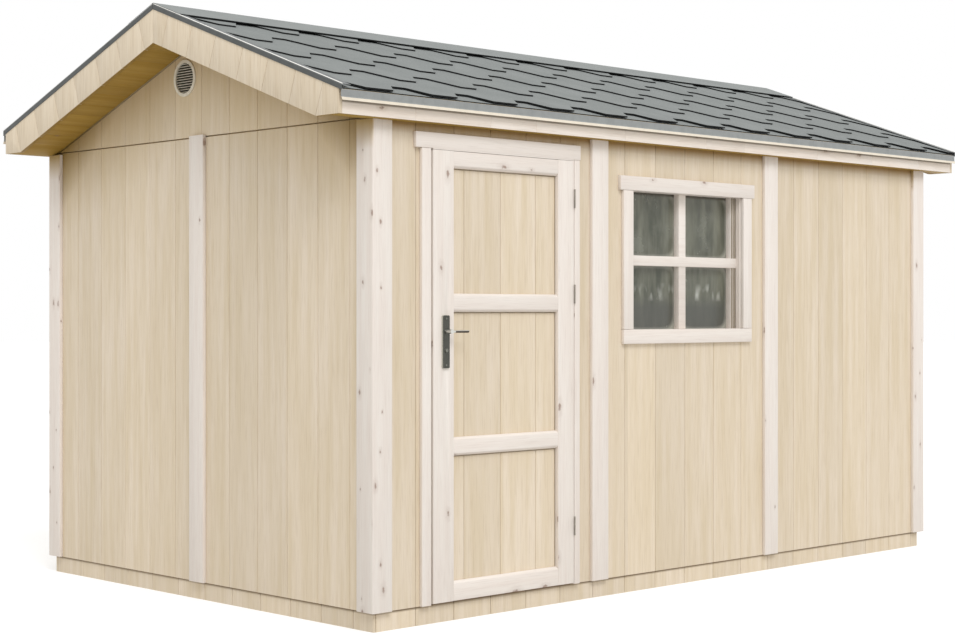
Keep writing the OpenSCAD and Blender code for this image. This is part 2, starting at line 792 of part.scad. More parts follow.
module roof_shingles() color(felt_c) front_and_back()
    translate([0, 0, roof_z(0, shingle_lo)]) rotate([-roof_pitch, 0, 0]) {
        for (i = [0:course_count - 1]) course(first_course - course_lap + i * course_pitch);
        translate([-shingle_x, slope_l - starter_w, 0]) cube([2 * shingle_x, starter_w, starter_t]);
    }

module ridge_cap() color(felt_c) {
    cap_y = cap_w * cos(roof_pitch);
    along_x(-verge_x, verge_x) polygon([
        [-cap_y, roof_z(cap_y, cap_lo)], [0, roof_z(0, cap_lo)], [cap_y, roof_z(cap_y, cap_lo)],
        [cap_y, roof_z(cap_y, cap_hi)], [0, roof_z(0, cap_hi)], [-cap_y, roof_z(cap_y, cap_hi)]
    ]);
}

module eave_flashings() color(flash_c) front_and_back() {
    out_y = deck_y + flash_t;
    face_top = roof_z(out_y, deck_hi);
    face_z = face_top - eave_face;
    along_x(-verge_x, verge_x) polygon([
        [deck_y, face_top], [deck_y, face_z], [deck_y + drip_out, face_z - drip_h],
        [out_y + drip_out, face_z - drip_h], [out_y, face_z], [out_y, face_top]
    ]);
}

module verge_flashings() color(flash_c) both_ends() front_and_back() {
    along_x(verge_x - verge_flat, verge_x + flash_t) slope_strip(ridge_gap / 2, shingle_y, verge_lo, verge_hi);
    along_x(verge_x, verge_x + flash_t) slope_strip(ridge_gap / 2, shingle_y, verge_hi - verge_face, verge_hi);
}

base_bearers();
floor_joists();
floor_boards();
front_wall_left();
front_wall_over_door();
front_wall_by_door();
front_wall_window();
front_wall_right();
back_wall();
left_wall();
right_wall();
left_gable();
right_gable();
front_studs();
back_studs();
end_studs();
top_plates();
sole_plates();
corner_trims();
wall_battens();
door_posts();
door_lintel();
door_stops();
door_threshold();
door_trims();
door_hinges_frame();
door_hinges_leaf();
door_boards();
door_stiles();
door_rails();
door_lock_plates();
door_lever();
window_lining();
window_trims();
window_bars();
window_glass();
gable_vents();
ridge_beam();
rafters();
roof_deck();
eave_soffits();
gable_soffits();
fascias();
bargeboards();
roof_shingles();
ridge_cap();
eave_flashings();
verge_flashings();
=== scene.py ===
# %% [markdown]
# # A wooden garden shed
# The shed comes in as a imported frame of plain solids: walls, trims, roof, door and window. This lesson
# dresses that frame. Boards get their joints, trims get eased edges, and every surface gets a finish that
# is computed from the place on the piece. The main sizes are read from the frame, so that the dress fits.

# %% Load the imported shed
import math
import random

import bmesh
import bpy
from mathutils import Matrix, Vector


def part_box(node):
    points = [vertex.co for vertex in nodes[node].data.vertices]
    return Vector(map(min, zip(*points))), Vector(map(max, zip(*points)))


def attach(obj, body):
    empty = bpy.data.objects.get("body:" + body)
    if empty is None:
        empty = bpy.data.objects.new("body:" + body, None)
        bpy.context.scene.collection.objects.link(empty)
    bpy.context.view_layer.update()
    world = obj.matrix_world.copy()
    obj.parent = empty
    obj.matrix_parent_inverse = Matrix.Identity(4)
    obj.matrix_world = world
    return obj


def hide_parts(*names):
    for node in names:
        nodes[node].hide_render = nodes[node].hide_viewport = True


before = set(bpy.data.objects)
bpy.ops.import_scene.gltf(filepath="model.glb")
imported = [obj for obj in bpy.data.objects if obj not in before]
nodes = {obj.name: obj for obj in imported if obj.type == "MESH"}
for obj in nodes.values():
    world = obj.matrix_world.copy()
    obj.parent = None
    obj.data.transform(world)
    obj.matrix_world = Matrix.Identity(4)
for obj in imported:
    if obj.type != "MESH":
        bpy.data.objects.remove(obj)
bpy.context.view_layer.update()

# %% [markdown]
# ## Camera
# The shed is seen off its near corner, from eye height. The camera could be tilted to bring the shed to the
# middle of the picture, but a level one keeps uprights upright, so a small shift of the lens does it.

# %% Place the camera
SENSOR_WIDE, LENS, LENS_SHIFT = 36.0, 68.68, -0.00615
EYE, EYE_TURN = (-6.6408, -6.6689, 1.27015), math.radians(-43.89)
view_data = bpy.data.cameras.new("view_from_corner")
view_data.sensor_width, view_data.lens, view_data.shift_y = SENSOR_WIDE, LENS, LENS_SHIFT
view_camera = bpy.data.objects.new("view_from_corner", view_data)
view_camera.location = EYE
view_camera.rotation_euler = (math.pi / 2, 0.0, EYE_TURN)
bpy.context.scene.collection.objects.link(view_camera)
bpy.context.scene.camera = view_camera
bpy.context.scene.view_settings.view_transform = "Standard"
print("camera", tuple(view_camera.location))

# %% [markdown]
# ## Finishes in general
# A finish is a small network of nodes. It could be joined by hand in the shader editor. In code, short ways
# to add and join nodes keep each network readable, so two classes hold them. One more helper turns a colour
# as it looks on a screen into the linear colour that the renderer needs.


# %% Helpers for finishes
def paint(red, green, blue):
    """Linear colour of a screen colour given from 0 to 255."""
    def linear(value):
        value /= 255.0
        return value / 12.92 if value <= 0.04045 else ((value + 0.055) / 1.055) ** 2.4
    return (linear(red), linear(green), linear(blue), 1.0)


class Network:
    """The nodes of a material or of the world, with short ways to add and join them."""

    def __init__(self, tree):
        self.nodes, self.links = tree.nodes, tree.links

    def add(self, kind, inputs=None, **settings):
        made = self.nodes.new(kind)
        for key, value in settings.items():
            setattr(made, key, value)
        for key, value in (inputs or {}).items():
            self.feed(made.inputs[key], value)
        return made

    def feed(self, socket, value):
        """Joins another node's output to a socket, or sets the socket to a plain value."""
        if isinstance(value, bpy.types.NodeSocket):
            self.links.new(value, socket)
        else:
            socket.default_value = value

    def mix(self, factor, first, second):
        return self.add("ShaderNodeMix", {0: factor, 6: first, 7: second}, data_type="RGBA").outputs[2]

    def range(self, value, low, high, to_low=0.0, to_high=1.0):
        inputs = {0: value, 1: low, 2: high, 3: to_low, 4: to_high}
        return self.add("ShaderNodeMapRange", inputs).outputs[0]

    def math(self, operation, first, second=0.0):
        return self.add("ShaderNodeMath", {0: first, 1: second}, operation=operation).outputs[0]

    def split(self, vector):
        return self.add("ShaderNodeSeparateXYZ", {0: vector}).outputs

    def scaled(self, vector, scale):
        return self.add("ShaderNodeMapping", {"Vector": vector, "Scale": scale}).outputs[0]

    def noise(self, vector, scale, detail=3.0, rough=0.55):
        inputs = {"Vector": vector, "Scale": scale, "Detail": detail, "Roughness": rough}
        return self.add("ShaderNodeTexNoise", inputs).outputs[0]

    def place(self):
        return self.add("ShaderNodeTexCoord").outputs["Object"]

    def facing(self):
        return self.split(self.add("ShaderNodeTexCoord").outputs["Normal"])

    def seen(self):
        """1 for rays from the camera, off metal or through glass, and 0 for the rest."""
        rays = self.add("ShaderNodeLightPath").outputs
        return self.math("MAXIMUM", rays["Is Camera Ray"],
                         self.math("MAXIMUM", rays["Is Glossy Ray"], rays["Is Transmission Ray"]))


class Finish(Network):
    """A new material and the network of its shader."""

    def __init__(self, name):
        self.material = bpy.data.materials.new(name)
        self.material.use_nodes = True
        super().__init__(self.material.node_tree)
        self.shader = self.nodes["Principled BSDF"]

    def shade(self, sockets):
        for name, value in sockets.items():
            self.feed(self.shader.inputs[name], value)

    def bump(self, height, strength, distance):
        inputs = {"Height": height, "Strength": strength, "Distance": distance}
        self.shade({"Normal": self.add("ShaderNodeBump", inputs).outputs[0]})


print("paint of mid grey:", [round(v, 3) for v in paint(128, 128, 128)])

# %% [markdown]
# ## Wood
# All the wood is planed softwood under a pale oil. A picture of wood would repeat itself, so one recipe
# computes it: the place on the piece is turned so that the grain runs along Z, then pressed along the grain,
# so that soft noise becomes long fibres and streaks. Each board carries its own number, called board, which
# moves the pattern and shifts the tone. Knots are the centres of scattered cells, and only some cells keep
# theirs.

# %% Wood recipe
GRAIN_TURN = {
    "upright": (0.0, 0.0, 0.0),
    "along_x": (0.0, -math.pi / 2, 0.0),
    "along_y": (math.pi / 2, 0.0, 0.0),
}
BOARD_SHIFT = (7.3, 5.1, 9.7)
FIBRES, STREAKS, CLOUDS = (240.0, 0.035), (26.0, 0.05), (3.2, 0.3)
KNOT_STRETCH, KNOT_AROUND, KNOT_SMALL, KNOT_LARGE = 0.5, 3.7, 0.015, 0.05
KNOT_RAGGED, RAGGED_SCALE, KNOT_HEART = 0.02, 70.0, paint(140, 112, 96)
SIDEWAYS, DOWNWARDS = 0.7, -0.5


def knotted(coat, turned, colour, deep, share, cells_per_metre):
    """Knots in a share of scattered cells. Faces that look along X have knots of their own."""
    across = coat.split(turned)
    around = coat.math("GREATER_THAN", coat.math("ABSOLUTE", coat.facing()[0]), SIDEWAYS)
    along = coat.math("ADD", coat.math("MULTIPLY", across[2], KNOT_STRETCH),
                      coat.math("MULTIPLY", around, KNOT_AROUND))
    flat = coat.add("ShaderNodeCombineXYZ", {0: coat.math("ADD", across[0], across[1]), 1: along})
    cells = coat.add("ShaderNodeTexVoronoi", {"Vector": flat.outputs[0], "Scale": cells_per_metre},
                     voronoi_dimensions="2D")
    draws = coat.add("ShaderNodeSeparateColor", {0: cells.outputs["Color"]}).outputs
    kept = coat.math("GREATER_THAN", draws[0], 1.0 - share)
    ragged = coat.range(coat.noise(turned, RAGGED_SCALE, 2.0), 0.3, 0.7, -KNOT_RAGGED, KNOT_RAGGED)
    size = coat.range(draws[1], 0.0, 1.0, KNOT_SMALL, KNOT_LARGE)
    near = coat.math("DIVIDE", coat.math("ADD", cells.outputs["Distance"], ragged), size)
    halo = coat.math("MULTIPLY", kept, coat.range(near, 1.0, 4.0, 0.3, 0.0))
    heart = coat.math("MULTIPLY", kept, coat.range(near, 0.6, 1.4, 0.72, 0.0))
    return coat.mix(heart, coat.mix(halo, colour, deep), KNOT_HEART)


def darkened(coat, colour, aged, ends_only):
    """Paints shade into the colour, in stages. Each stage gives a slope, a line and a shade: how far under
    the line it starts and is full, its colour and its most. The line falls with the slope on both sides of
    the shed's middle. With ends_only, just faces that look along X darken."""
    place = coat.split(coat.place())
    for slope, line, (start, full, shade, most) in aged:
        run = coat.math("MULTIPLY", coat.math("ABSOLUTE", place[1]), slope)
        amount = coat.range(coat.math("ADD", place[2], run), line - start, line - full, 0.0, most)
        if ends_only:
            amount = coat.math("MULTIPLY", amount, coat.math("ABSOLUTE", coat.facing()[0]))
        colour = coat.mix(amount, colour, shade)
    return colour


def timber(name, grain, tones, knots=0.0, knot_cells=6.0, tone=0.1, fibre=0.3, under=None, aged=(),
           aged_ends=False):
    """Tones are the pale, warm and deep screen colours. Under is a painted shade: the colour of faces
    that look down.
    """
    pale, warm, deep = (paint(*tone) for tone in tones)
    coat = Finish(name)
    board = coat.add("ShaderNodeAttribute", attribute_name="board").outputs["Fac"]
    shift = coat.add("ShaderNodeCombineXYZ", {
        axis: coat.math("MULTIPLY", board, far) for axis, far in enumerate(BOARD_SHIFT)})
    moved = coat.add("ShaderNodeVectorMath", {0: coat.place(), 1: shift.outputs[0]})
    turned = coat.add("ShaderNodeMapping", {
        "Vector": moved.outputs[0], "Rotation": GRAIN_TURN[grain]}).outputs[0]

    def grained(kind, *more):
        scale, press = kind
        return coat.noise(coat.scaled(turned, (1.0, 1.0, press)), scale, *more)

    fibres, streaks, clouds = grained(FIBRES, 4.0), grained(STREAKS, 4.0, 0.6), grained(CLOUDS, 2.0)
    colour = coat.mix(coat.range(streaks, 0.36, 0.66), pale, warm)
    colour = coat.mix(coat.range(clouds, 0.42, 0.72, 0.0, 0.45), colour, warm)
    colour = coat.mix(coat.range(fibres, 0.5, 0.78, 0.0, fibre), colour, deep)
    bright = coat.range(board, 0.0, 1.0, 1.0 - tone / 2, 1.0 + tone / 2)
    colour = coat.add("ShaderNodeHueSaturation", {"Value": bright, "Color": colour}).outputs[0]
    if knots:
        colour = knotted(coat, turned, colour, deep, knots, knot_cells)
    if aged:
        colour = darkened(coat, colour, aged, aged_ends)
    if under:
        colour = coat.mix(coat.math("LESS_THAN", coat.facing()[2], DOWNWARDS), colour, under)
    coat.shade({"Base Color": colour, "Roughness": coat.range(streaks, 0.3, 0.7, 0.55, 0.68),
                "Specular IOR Level": 0.3})
    coat.bump(fibres, 0.22, 0.0012)
    return coat.material


def timber_set(name, grains, tones, **more):
    """The same wood for each way that the grain may run."""
    return {grain: timber(name + "_" + grain, grain, tones, **more) for grain in grains}


print("grain may run", ", ".join(GRAIN_TURN))

# %% [markdown]
# ## Kinds of wood
# The cladding is yellower than the trims, and the frame inside is left unoiled. Painted shade makes the wood
# under the eaves and the roof's slopes, in the gable's corners and at the corner posts' tops browner, and
# painted shadow lines stand where the cladding meets the base and under the drip lip. The undersides of the
# bargeboards and fascias are painted shade too. The lamps could give this shade, but here it is mixed into
# the wood's colour by height and by facing.

# %% Mix the woods
LEVELS, UPRIGHT, ALONG = ("upright", "along_x", "along_y"), ("upright",), ("along_x",)
ROOF_PITCH = math.radians(19.8)
PITCH_RISE, CORNER_RISE = math.tan(ROOF_PITCH), 0.9
wall_low, wall_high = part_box("front_wall_right")
front_face, wall_end = -wall_low.y, wall_high.x
roof_line, corner_line = wall_high.z + PITCH_RISE * front_face, wall_high.z + CORNER_RISE * front_face
drip_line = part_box("eave_flashings")[0].z

# Each painted shade: how far under its line it starts and is full, its colour and its most. The first three
# are painted shade under the eave, along the roof's slopes and in the gable's corners; the next is painted
# shade at the corner posts' tops; the foot and drip ones are painted shadow lines under the cladding and the
# drip lip.
EAVE_SHADE = 0.058, 0.02, paint(141, 105, 35), 0.88
SLOPE_PAINTED_SHADE = 0.45, 0.07, paint(188, 162, 108), 0.55
CORNER_SHADE = 0.36, 0.1, paint(128, 98, 18), 0.85
FOOT_SHADE = 0.013, 0.003, paint(104, 80, 46), 0.85
POST_SHADE = 0.13, 0.02, paint(170, 140, 60), 0.85
DRIP_SHADE = 0.007, 0.002, paint(112, 98, 76), 0.7
# Painted shade for the faces of bargeboards and fascias that look down.
UNDERSIDE_PAINTED_SHADE = paint(150, 120, 56)

CLAD_TONES = (226, 212, 192), (216, 200, 173), (168, 143, 106)
TRIM_TONES = (235, 228, 220), (229, 219, 210), (184, 167, 156)
# The sash beads are dark partly for their lines and partly as painted shade on the sash.
BEAD_TONES = (150, 138, 118), (132, 119, 98), (92, 80, 62)
BARGE_TONES = (228, 214, 192), (219, 203, 178), (166, 141, 106)
FASCIA_TONES = (245, 236, 226), (238, 225, 211), (178, 156, 134)
FRAME_TONES = (226, 203, 160), (212, 184, 136), (166, 130, 84)
SOFFIT_TONES = (173, 141, 66), (159, 125, 50), (114, 84, 31)
TRIM_LOOK = {"tone": 0.05, "fibre": 0.24}

clad_wood = timber_set("cladding_wood", UPRIGHT, CLAD_TONES)
front_wood = timber_set("front_wood", UPRIGHT, CLAD_TONES, aged=((0.0, wall_high.z, EAVE_SHADE),))
end_wood = timber_set("end_wood", UPRIGHT, CLAD_TONES, aged=(
    (PITCH_RISE, roof_line, SLOPE_PAINTED_SHADE), (CORNER_RISE, corner_line, CORNER_SHADE)))
base_wood = timber_set("base_wood", UPRIGHT, CLAD_TONES, aged=((0.0, wall_low.z, FOOT_SHADE),))
trim_wood = timber_set("trim_wood", LEVELS, TRIM_TONES, knots=0.6, **TRIM_LOOK)
bar_wood = timber_set("bar_wood", LEVELS, TRIM_TONES, **TRIM_LOOK)
post_wood = timber_set("post_wood", UPRIGHT, TRIM_TONES, knots=0.8, knot_cells=9.0,
                       aged=((0.0, wall_high.z, POST_SHADE),), aged_ends=True, **TRIM_LOOK)
bead_wood = timber_set("bead_wood", UPRIGHT, BEAD_TONES)
barge_wood = timber_set("barge_wood", UPRIGHT, BARGE_TONES, knots=0.1, tone=0.06, fibre=0.45,
                        under=UNDERSIDE_PAINTED_SHADE)
fascia_wood = timber_set("fascia_wood", ALONG, FASCIA_TONES, knots=0.35, tone=0.04, under=UNDERSIDE_PAINTED_SHADE,
                         aged=((0.0, drip_line, DRIP_SHADE),))
frame_wood = timber_set("frame_wood", LEVELS, FRAME_TONES, knots=0.25)
soffit_wood = timber_set("soffit_wood", ALONG, SOFFIT_TONES, knots=0.12)
print("wood finishes:", [wood.name for wood in bpy.data.materials if "_wood_" in wood.name])

# %% [markdown]
# ## Felt
# Roofing felt is bitumen with mineral grains on top, so its cut edges are nearly black. The edges could be
# painted face by face. It is simpler to let every face that doesn't look up take the edge's colour.

# %% Felt
FELT_GRAINS, FELT_PATCHES, FELT_SPECKS, FELT_UP = 620.0, 5.0, 150.0, 0.7
FELT_GLINT, FELT_EDGE = paint(176, 180, 178), paint(30, 31, 31)


def roofing_felt(name, pale, dark):
    coat = Finish(name)
    place = coat.place()
    grains = coat.noise(place, FELT_GRAINS, 2.0)
    patches = coat.noise(place, FELT_PATCHES)
    specks = coat.noise(place, FELT_SPECKS, 2.0)
    colour = coat.mix(coat.range(patches, 0.3, 0.7), pale, dark)
    colour = coat.mix(coat.range(specks, 0.45, 0.7, 0.0, 0.35), colour, dark)
    colour = coat.mix(coat.range(grains, 0.55, 0.75, 0.0, 0.3), colour, FELT_GLINT)
    colour = coat.mix(coat.math("LESS_THAN", coat.facing()[2], FELT_UP), colour, FELT_EDGE)
    coat.shade({"Base Color": colour, "Roughness": 0.92, "Specular IOR Level": 0.2})
    coat.bump(grains, 0.35, 0.0012)
    return coat.material


shingle_felt = roofing_felt("shingle_felt", paint(137, 141, 140), paint(128, 132, 131))
cap_felt = roofing_felt("cap_felt", paint(144, 148, 147), paint(135, 139, 138))
print("felt:", shingle_felt.name, cap_felt.name)

# %% [markdown]
# ## Metal
# The flashings are painted sheet metal, and the lever, the lock plates and the hinges are brushed steel. A
# lip could be a piece of its own. Here it is a fold of the same sheet, so the finish changes colour at a
# height: the eave flashing's pale drip lip is a painted highlight, and the verge metal is painted darker than
# the eave's as painted shade, with its face darker than its top.

# %% Sheet metal
LIP_WEAR, EAVE_FACE, VERGE_TOP = 0.85, 0.031, 0.004
METAL_MARKS, METAL_DENTS = 18.0, 60.0


def sheet_metal(name, colour, worn, lip_below=None, lip_painted_light=None, slope=0.0):
    """Below the line of its lip, which may fall with the roof, the sheet takes the lip's colour, which is
    painted
    light: pale for a highlight, dark for shade.
    """
    coat = Finish(name)
    place = coat.place()
    marks = coat.noise(place, METAL_MARKS, 4.0, 0.65)
    wear = coat.range(marks, 0.4, 0.7, 0.0, 0.6)
    shade = coat.mix(wear, colour, worn)
    if lip_below is not None:
        split = coat.split(place)
        run = coat.math("MULTIPLY", coat.math("ABSOLUTE", split[1]), slope)
        below = coat.math("LESS_THAN", coat.math("ADD", split[2], run), lip_below)
        lip_worn = tuple(LIP_WEAR * value for value in lip_painted_light[:3]) + (1.0,)
        shade = coat.mix(below, shade, coat.mix(wear, lip_painted_light, lip_worn))
    coat.shade({"Base Color": shade, "Roughness": coat.range(marks, 0.3, 0.7, 0.42, 0.6)})
    coat.bump(coat.noise(place, METAL_DENTS, 2.0), 0.05, 0.001)
    return coat.material


verge_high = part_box("verge_flashings")[1]
# The eave lip's pale colour is a painted highlight. The verge metal is darker as painted shade, darkest on
# its face below the top.
eave_metal = sheet_metal("eave_metal", paint(146, 149, 148), paint(128, 131, 130),
                         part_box("eave_flashings")[1].z - EAVE_FACE, paint(226, 216, 198))
verge_metal = sheet_metal("verge_metal", paint(100, 103, 103), paint(88, 91, 91),
                          verge_high.z - VERGE_TOP, paint(76, 79, 78), PITCH_RISE)
# Near-white, as a painted highlight on the verge beads.
bead_highlight_metal = sheet_metal("bead_highlight_metal", paint(240, 239, 234), paint(220, 219, 214))
print("sheet metal:", eave_metal.name, verge_metal.name, bead_highlight_metal.name)

# %% Brushed steel
BRUSH_SCALE, BRUSH_PRESS, STEEL_WEAR, FRONTWARDS, GRIP_START = 900.0, 0.04, 45.0, 0.8, 0.02


def brushed_steel(name, colour, dark, edge=None, under=None):
    """Edge is a painted highlight: the colour of faces that don't look to the front or back. Under is an X
    and a
    painted shade: the colour that faces beyond it have where they don't look up."""
    coat = Finish(name)
    brush = coat.noise(coat.scaled(coat.place(), (1.0, 1.0, BRUSH_PRESS)), BRUSH_SCALE, 2.0)
    wear = coat.noise(coat.place(), STEEL_WEAR)
    shade = coat.mix(coat.range(brush, 0.35, 0.7, 0.0, 0.6), colour, dark)
    shade = coat.mix(coat.range(wear, 0.5, 0.75, 0.0, 0.4), shade, dark)
    if edge:
        front = coat.math("ABSOLUTE", coat.facing()[1])
        shade = coat.mix(coat.math("LESS_THAN", front, FRONTWARDS), shade, edge)
    if under:
        start, low_colour = under
        beyond = coat.math("GREATER_THAN", coat.split(coat.place())[0], start)
        low = coat.math("MULTIPLY", beyond, coat.range(coat.facing()[2], 0.2, 0.6, 1.0, 0.0))
        shade = coat.mix(low, shade, low_colour)
    coat.shade({"Base Color": shade, "Metallic": 1.0, "Roughness": coat.range(brush, 0.3, 0.7, 0.28, 0.42)})
    coat.bump(brush, 0.08, 0.0004)
    return coat.material


plate_low, plate_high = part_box("door_lock_plates")
spindle_x = (plate_low.x + plate_high.x) / 2
# The lever's underside beyond the grip is painted shade.
lever_steel = brushed_steel("lever_steel", paint(222, 222, 217), paint(188, 188, 182),
                            under=(spindle_x + GRIP_START, paint(70, 62, 54)))
bright_steel = brushed_steel("bright_steel", paint(136, 136, 128), paint(108, 108, 100))
# The plate's pale edge colour is a painted highlight.
plate_steel = brushed_steel("plate_steel", paint(92, 92, 86), paint(70, 70, 66), paint(196, 198, 190))
hinge_steel = brushed_steel("hinge_steel", paint(176, 170, 160), paint(138, 132, 124))
print("steel:", lever_steel.name, bright_steel.name, plate_steel.name, hinge_steel.name)

# %% [markdown]
# ## Glass and vent
# The panes are old and stand before a dark room. Clear glass would look black here, so the panes carry a
# painted reflection: streaks, a darker band low down and a row of soft spots. Each pane also has pale
# mottling and a paler rim, and a painted shadow darkens the head. The vents are dusty plastic, with painted
# shade between the louvres.

# %% Glass
PANE_BAR, PANE_SASH, RIM_POWER = 0.048, 0.036, 6.0
SPOT_ROW, SPOT_FULL, SPOT_GONE = 1.362, 0.012, 0.045
SILL_CALM, CALM_FADE, HEAD_SHADE_DEPTH = 1.318, 0.03, 0.016
# Pane colours: the streak, mottle, low band and spot colours paint a reflection, the rim colour is paler, and
# the last colour paints shadow at the head.
PANE_DARK, PANE_PALE, PANE_MOTTLE = paint(88, 91, 78), paint(138, 139, 123), paint(146, 148, 136)
PANE_LOW_REFLECTION, PANE_SPOT_REFLECTION = paint(96, 97, 91), paint(206, 207, 198)
PANE_RIM, PANE_HEAD_SHADE = paint(190, 190, 178), paint(66, 56, 36)


def painted_reflection_glass(name):
    coat = Finish(name)
    place = coat.place()
    low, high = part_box("window_glass")
    middle = (low + high) / 2
    inner = Vector((PANE_BAR / 2, 0.0, PANE_BAR / 2))
    outer = (high - low) / 2 - Vector((PANE_SASH, 0.0, 0.0))
    centre, half = (inner + outer) / 2, (outer - inner) / 2
    streaks = coat.noise(coat.scaled(place, (1.0, 1.0, 0.2)), 17.0)
    mottle = coat.noise(place, 8.0)
    split = coat.split(place)

    def rim(axis):
        """Rises from 0 in the middle of a pane to 1 at its edge."""
        away = coat.math("ABSOLUTE", coat.math("SUBTRACT", split[axis], middle[axis]))
        away = coat.math("DIVIDE", coat.math("SUBTRACT", away, centre[axis]), half[axis])
        return coat.math("POWER", coat.math("ABSOLUTE", away), RIM_POWER)

    # Painted reflection: streaks, a darker band low down and a row of soft spots.
    colour = coat.mix(coat.range(streaks, 0.36, 0.7), PANE_DARK, PANE_PALE)
    colour = coat.mix(coat.range(mottle, 0.5, 0.75, 0.0, 0.5), colour, PANE_MOTTLE)
    low_reflection = coat.range(split[2], SILL_CALM - CALM_FADE, SILL_CALM + CALM_FADE, 0.8, 0.0)
    colour = coat.mix(low_reflection, colour, PANE_LOW_REFLECTION)
    off_row = coat.math("ABSOLUTE", coat.math("SUBTRACT", split[2], SPOT_ROW))
    row = coat.range(off_row, SPOT_FULL, SPOT_GONE, 1.0, 0.0)
    spots = coat.range(coat.noise(coat.scaled(place, (1.0, 0.0, 0.35)), 19.0, 1.0), 0.52, 0.68)
    colour = coat.mix(coat.math("MULTIPLY", row, spots), colour, PANE_SPOT_REFLECTION)
    edge = coat.math("ADD", rim(0), rim(2))
    colour = coat.mix(coat.range(edge, 0.6, 1.2, 0.0, 0.85), colour, PANE_RIM)
    # Painted shadow under the window's head darkens the top of the panes.
    head = coat.range(split[2], high.z - HEAD_SHADE_DEPTH, high.z - HEAD_SHADE_DEPTH / 3, 0.0, 0.85)
    colour = coat.mix(head, colour, PANE_HEAD_SHADE)
    coat.shade({"Base Color": colour, "Roughness": coat.range(mottle, 0.3, 0.7, 0.12, 0.3),
                "Transmission Weight": 0.3, "IOR": 1.45})
    return coat.material


pane_glass = painted_reflection_glass("pane_glass")
print("glass:", pane_glass.name)

# %% Vent
VENT_DUST, VENT_INSIDE, VENT_OUTSIDE = 40.0, 0.006, 0.003
VENT_PALE, VENT_WORN, VENT_INSIDE_SHADE = paint(226, 220, 204), paint(208, 200, 180), paint(62, 58, 44)


def vent_plastic(name):
    coat = Finish(name)
    place = coat.place()
    dust = coat.noise(place, VENT_DUST)
    colour = coat.mix(coat.range(dust, 0.4, 0.7), VENT_PALE, VENT_WORN)
    # Painted shade darkens the vent inside the wall's face, between the louvres.
    depth = coat.math("ABSOLUTE", coat.split(place)[0])
    inside = coat.range(depth, wall_end - VENT_INSIDE, wall_end + VENT_OUTSIDE, 1.0, 0.0)
    coat.shade({"Base Color": coat.mix(inside, colour, VENT_INSIDE_SHADE), "Roughness": 0.5})
    coat.bump(dust, 0.05, 0.001)
    return coat.material


vent_paint = vent_plastic("vent_paint")
print("vent:", vent_paint.name)

# %% [markdown]
# ## Ways of shaping
# Every new piece starts as a primitive of its size, and is then cut, bevelled or joined. The same few moves
# come back on most pieces, so each is a helper. Edges and faces are picked by their place or their normal.

# %% Helpers for shaping
TOUCH, ROUND_OFF = 1e-5, 1e-6


def take(piece):
    bpy.ops.object.select_all(action="DESELECT")
    piece.select_set(True)
    bpy.context.view_layer.objects.active = piece


def block(corner, opposite):
    """A cube between two opposite corners, with its place in its mesh."""
    bpy.ops.object.select_all(action="DESELECT")
    low, high = (Vector(tuple(map(pick, corner, opposite))) for pick in (min, max))
    bpy.ops.mesh.primitive_cube_add(size=1.0, location=(low + high) / 2, scale=high - low)
    bpy.ops.object.transform_apply(location=True, rotation=True, scale=True)
    return bpy.context.object


def rise(edge):
    return abs(edge.verts[0].co.z - edge.verts[1].co.z)


def choose(piece, kind, wanted):
    """In edit mode, selects only the faces or edges that are wanted."""
    bpy.ops.mesh.select_mode(type=kind)
    bpy.ops.mesh.select_all(action="DESELECT")
    shape = bmesh.from_edit_mesh(piece.data)
    shape.normal_update()
    for item in shape.faces if kind == "FACE" else shape.edges:
        item.select_set(bool(wanted(item)))
    shape.select_flush_mode()
    bmesh.update_edit_mesh(piece.data)


def bevel_edges(piece, wanted, width, segments):
    take(piece)
    bpy.ops.object.mode_set(mode="EDIT")
    choose(piece, "EDGE", wanted)
    bpy.ops.mesh.bevel(offset=width, segments=segments, affect="EDGES")
    bpy.ops.object.mode_set(mode="OBJECT")


def trim_off(piece, point, normal):
    """Cuts a piece at a plane and throws away the side that the normal points to."""
    take(piece)
    bpy.ops.object.mode_set(mode="EDIT")
    bpy.ops.mesh.select_all(action="SELECT")
    bpy.ops.mesh.bisect(plane_co=point, plane_no=normal, use_fill=True, clear_outer=True)
    bpy.ops.object.mode_set(mode="OBJECT")


def cut_away(piece, cutter):
    """Cuts the cutter's shape out of a piece and throws the cutter away."""
    take(piece)
    cut = piece.modifiers.new("cut", "BOOLEAN")
    cut.object, cut.operation, cut.solver = cutter, "DIFFERENCE", "EXACT"
    bpy.ops.object.modifier_apply(modifier=cut.name)
    bpy.data.objects.remove(cutter)


def joined(pieces, name):
    take(pieces[0])
    for piece in pieces:
        piece.select_set(True)
    if len(pieces) > 1:
        bpy.ops.object.join()
    made = bpy.context.object
    made.name = made.data.name = name
    return made


def numbered(piece, number_of):
    """Writes each face's board number, from 0 to 1, which the wood finish reads."""
    numbers = piece.data.attributes.new("board", "FLOAT", "FACE")
    numbers.data.foreach_set("value", [number_of(face) for face in piece.data.polygons])


def dress(piece, body, slot, replaced, *materials):
    """Gives a piece its finishes and its body, and names the nodes that it stands for, if any."""
    piece.data.materials.clear()
    for material in materials:
        piece.data.materials.append(material)
    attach(piece, body)
    if replaced:
        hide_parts(*replaced)
    print(piece.name, "faces:", len(piece.data.polygons), "stands for", ", ".join(replaced) or "itself")


print("places closer than", TOUCH, "m count as the same")

# %% [markdown]
# ## Boards
# The walls are upright boards side by side, with a rebate and small chamfers that make a thin dark joint
# line. Lines could be drawn on a slab, but real joints catch the light from every side. One board is
# modelled: a block of its outer width is bisected at the rebate, the inner parts of its sides are extruded
# as tongues, and its upright edges are bevelled. An array repeats it, and a bisect at each end trims the
# run. All runs are made facing the front and then turned to their wall.

# %% Helper for a run of boards
BOARD_REBATE, BOARD_SLOT, BOARD_CHAMFER, BOARD_PLAY = 0.008, 0.0018, 0.0016, 0.0001
TURN = {"front": 0.0, "right": math.pi / 2, "back": math.pi, "left": -math.pi / 2}


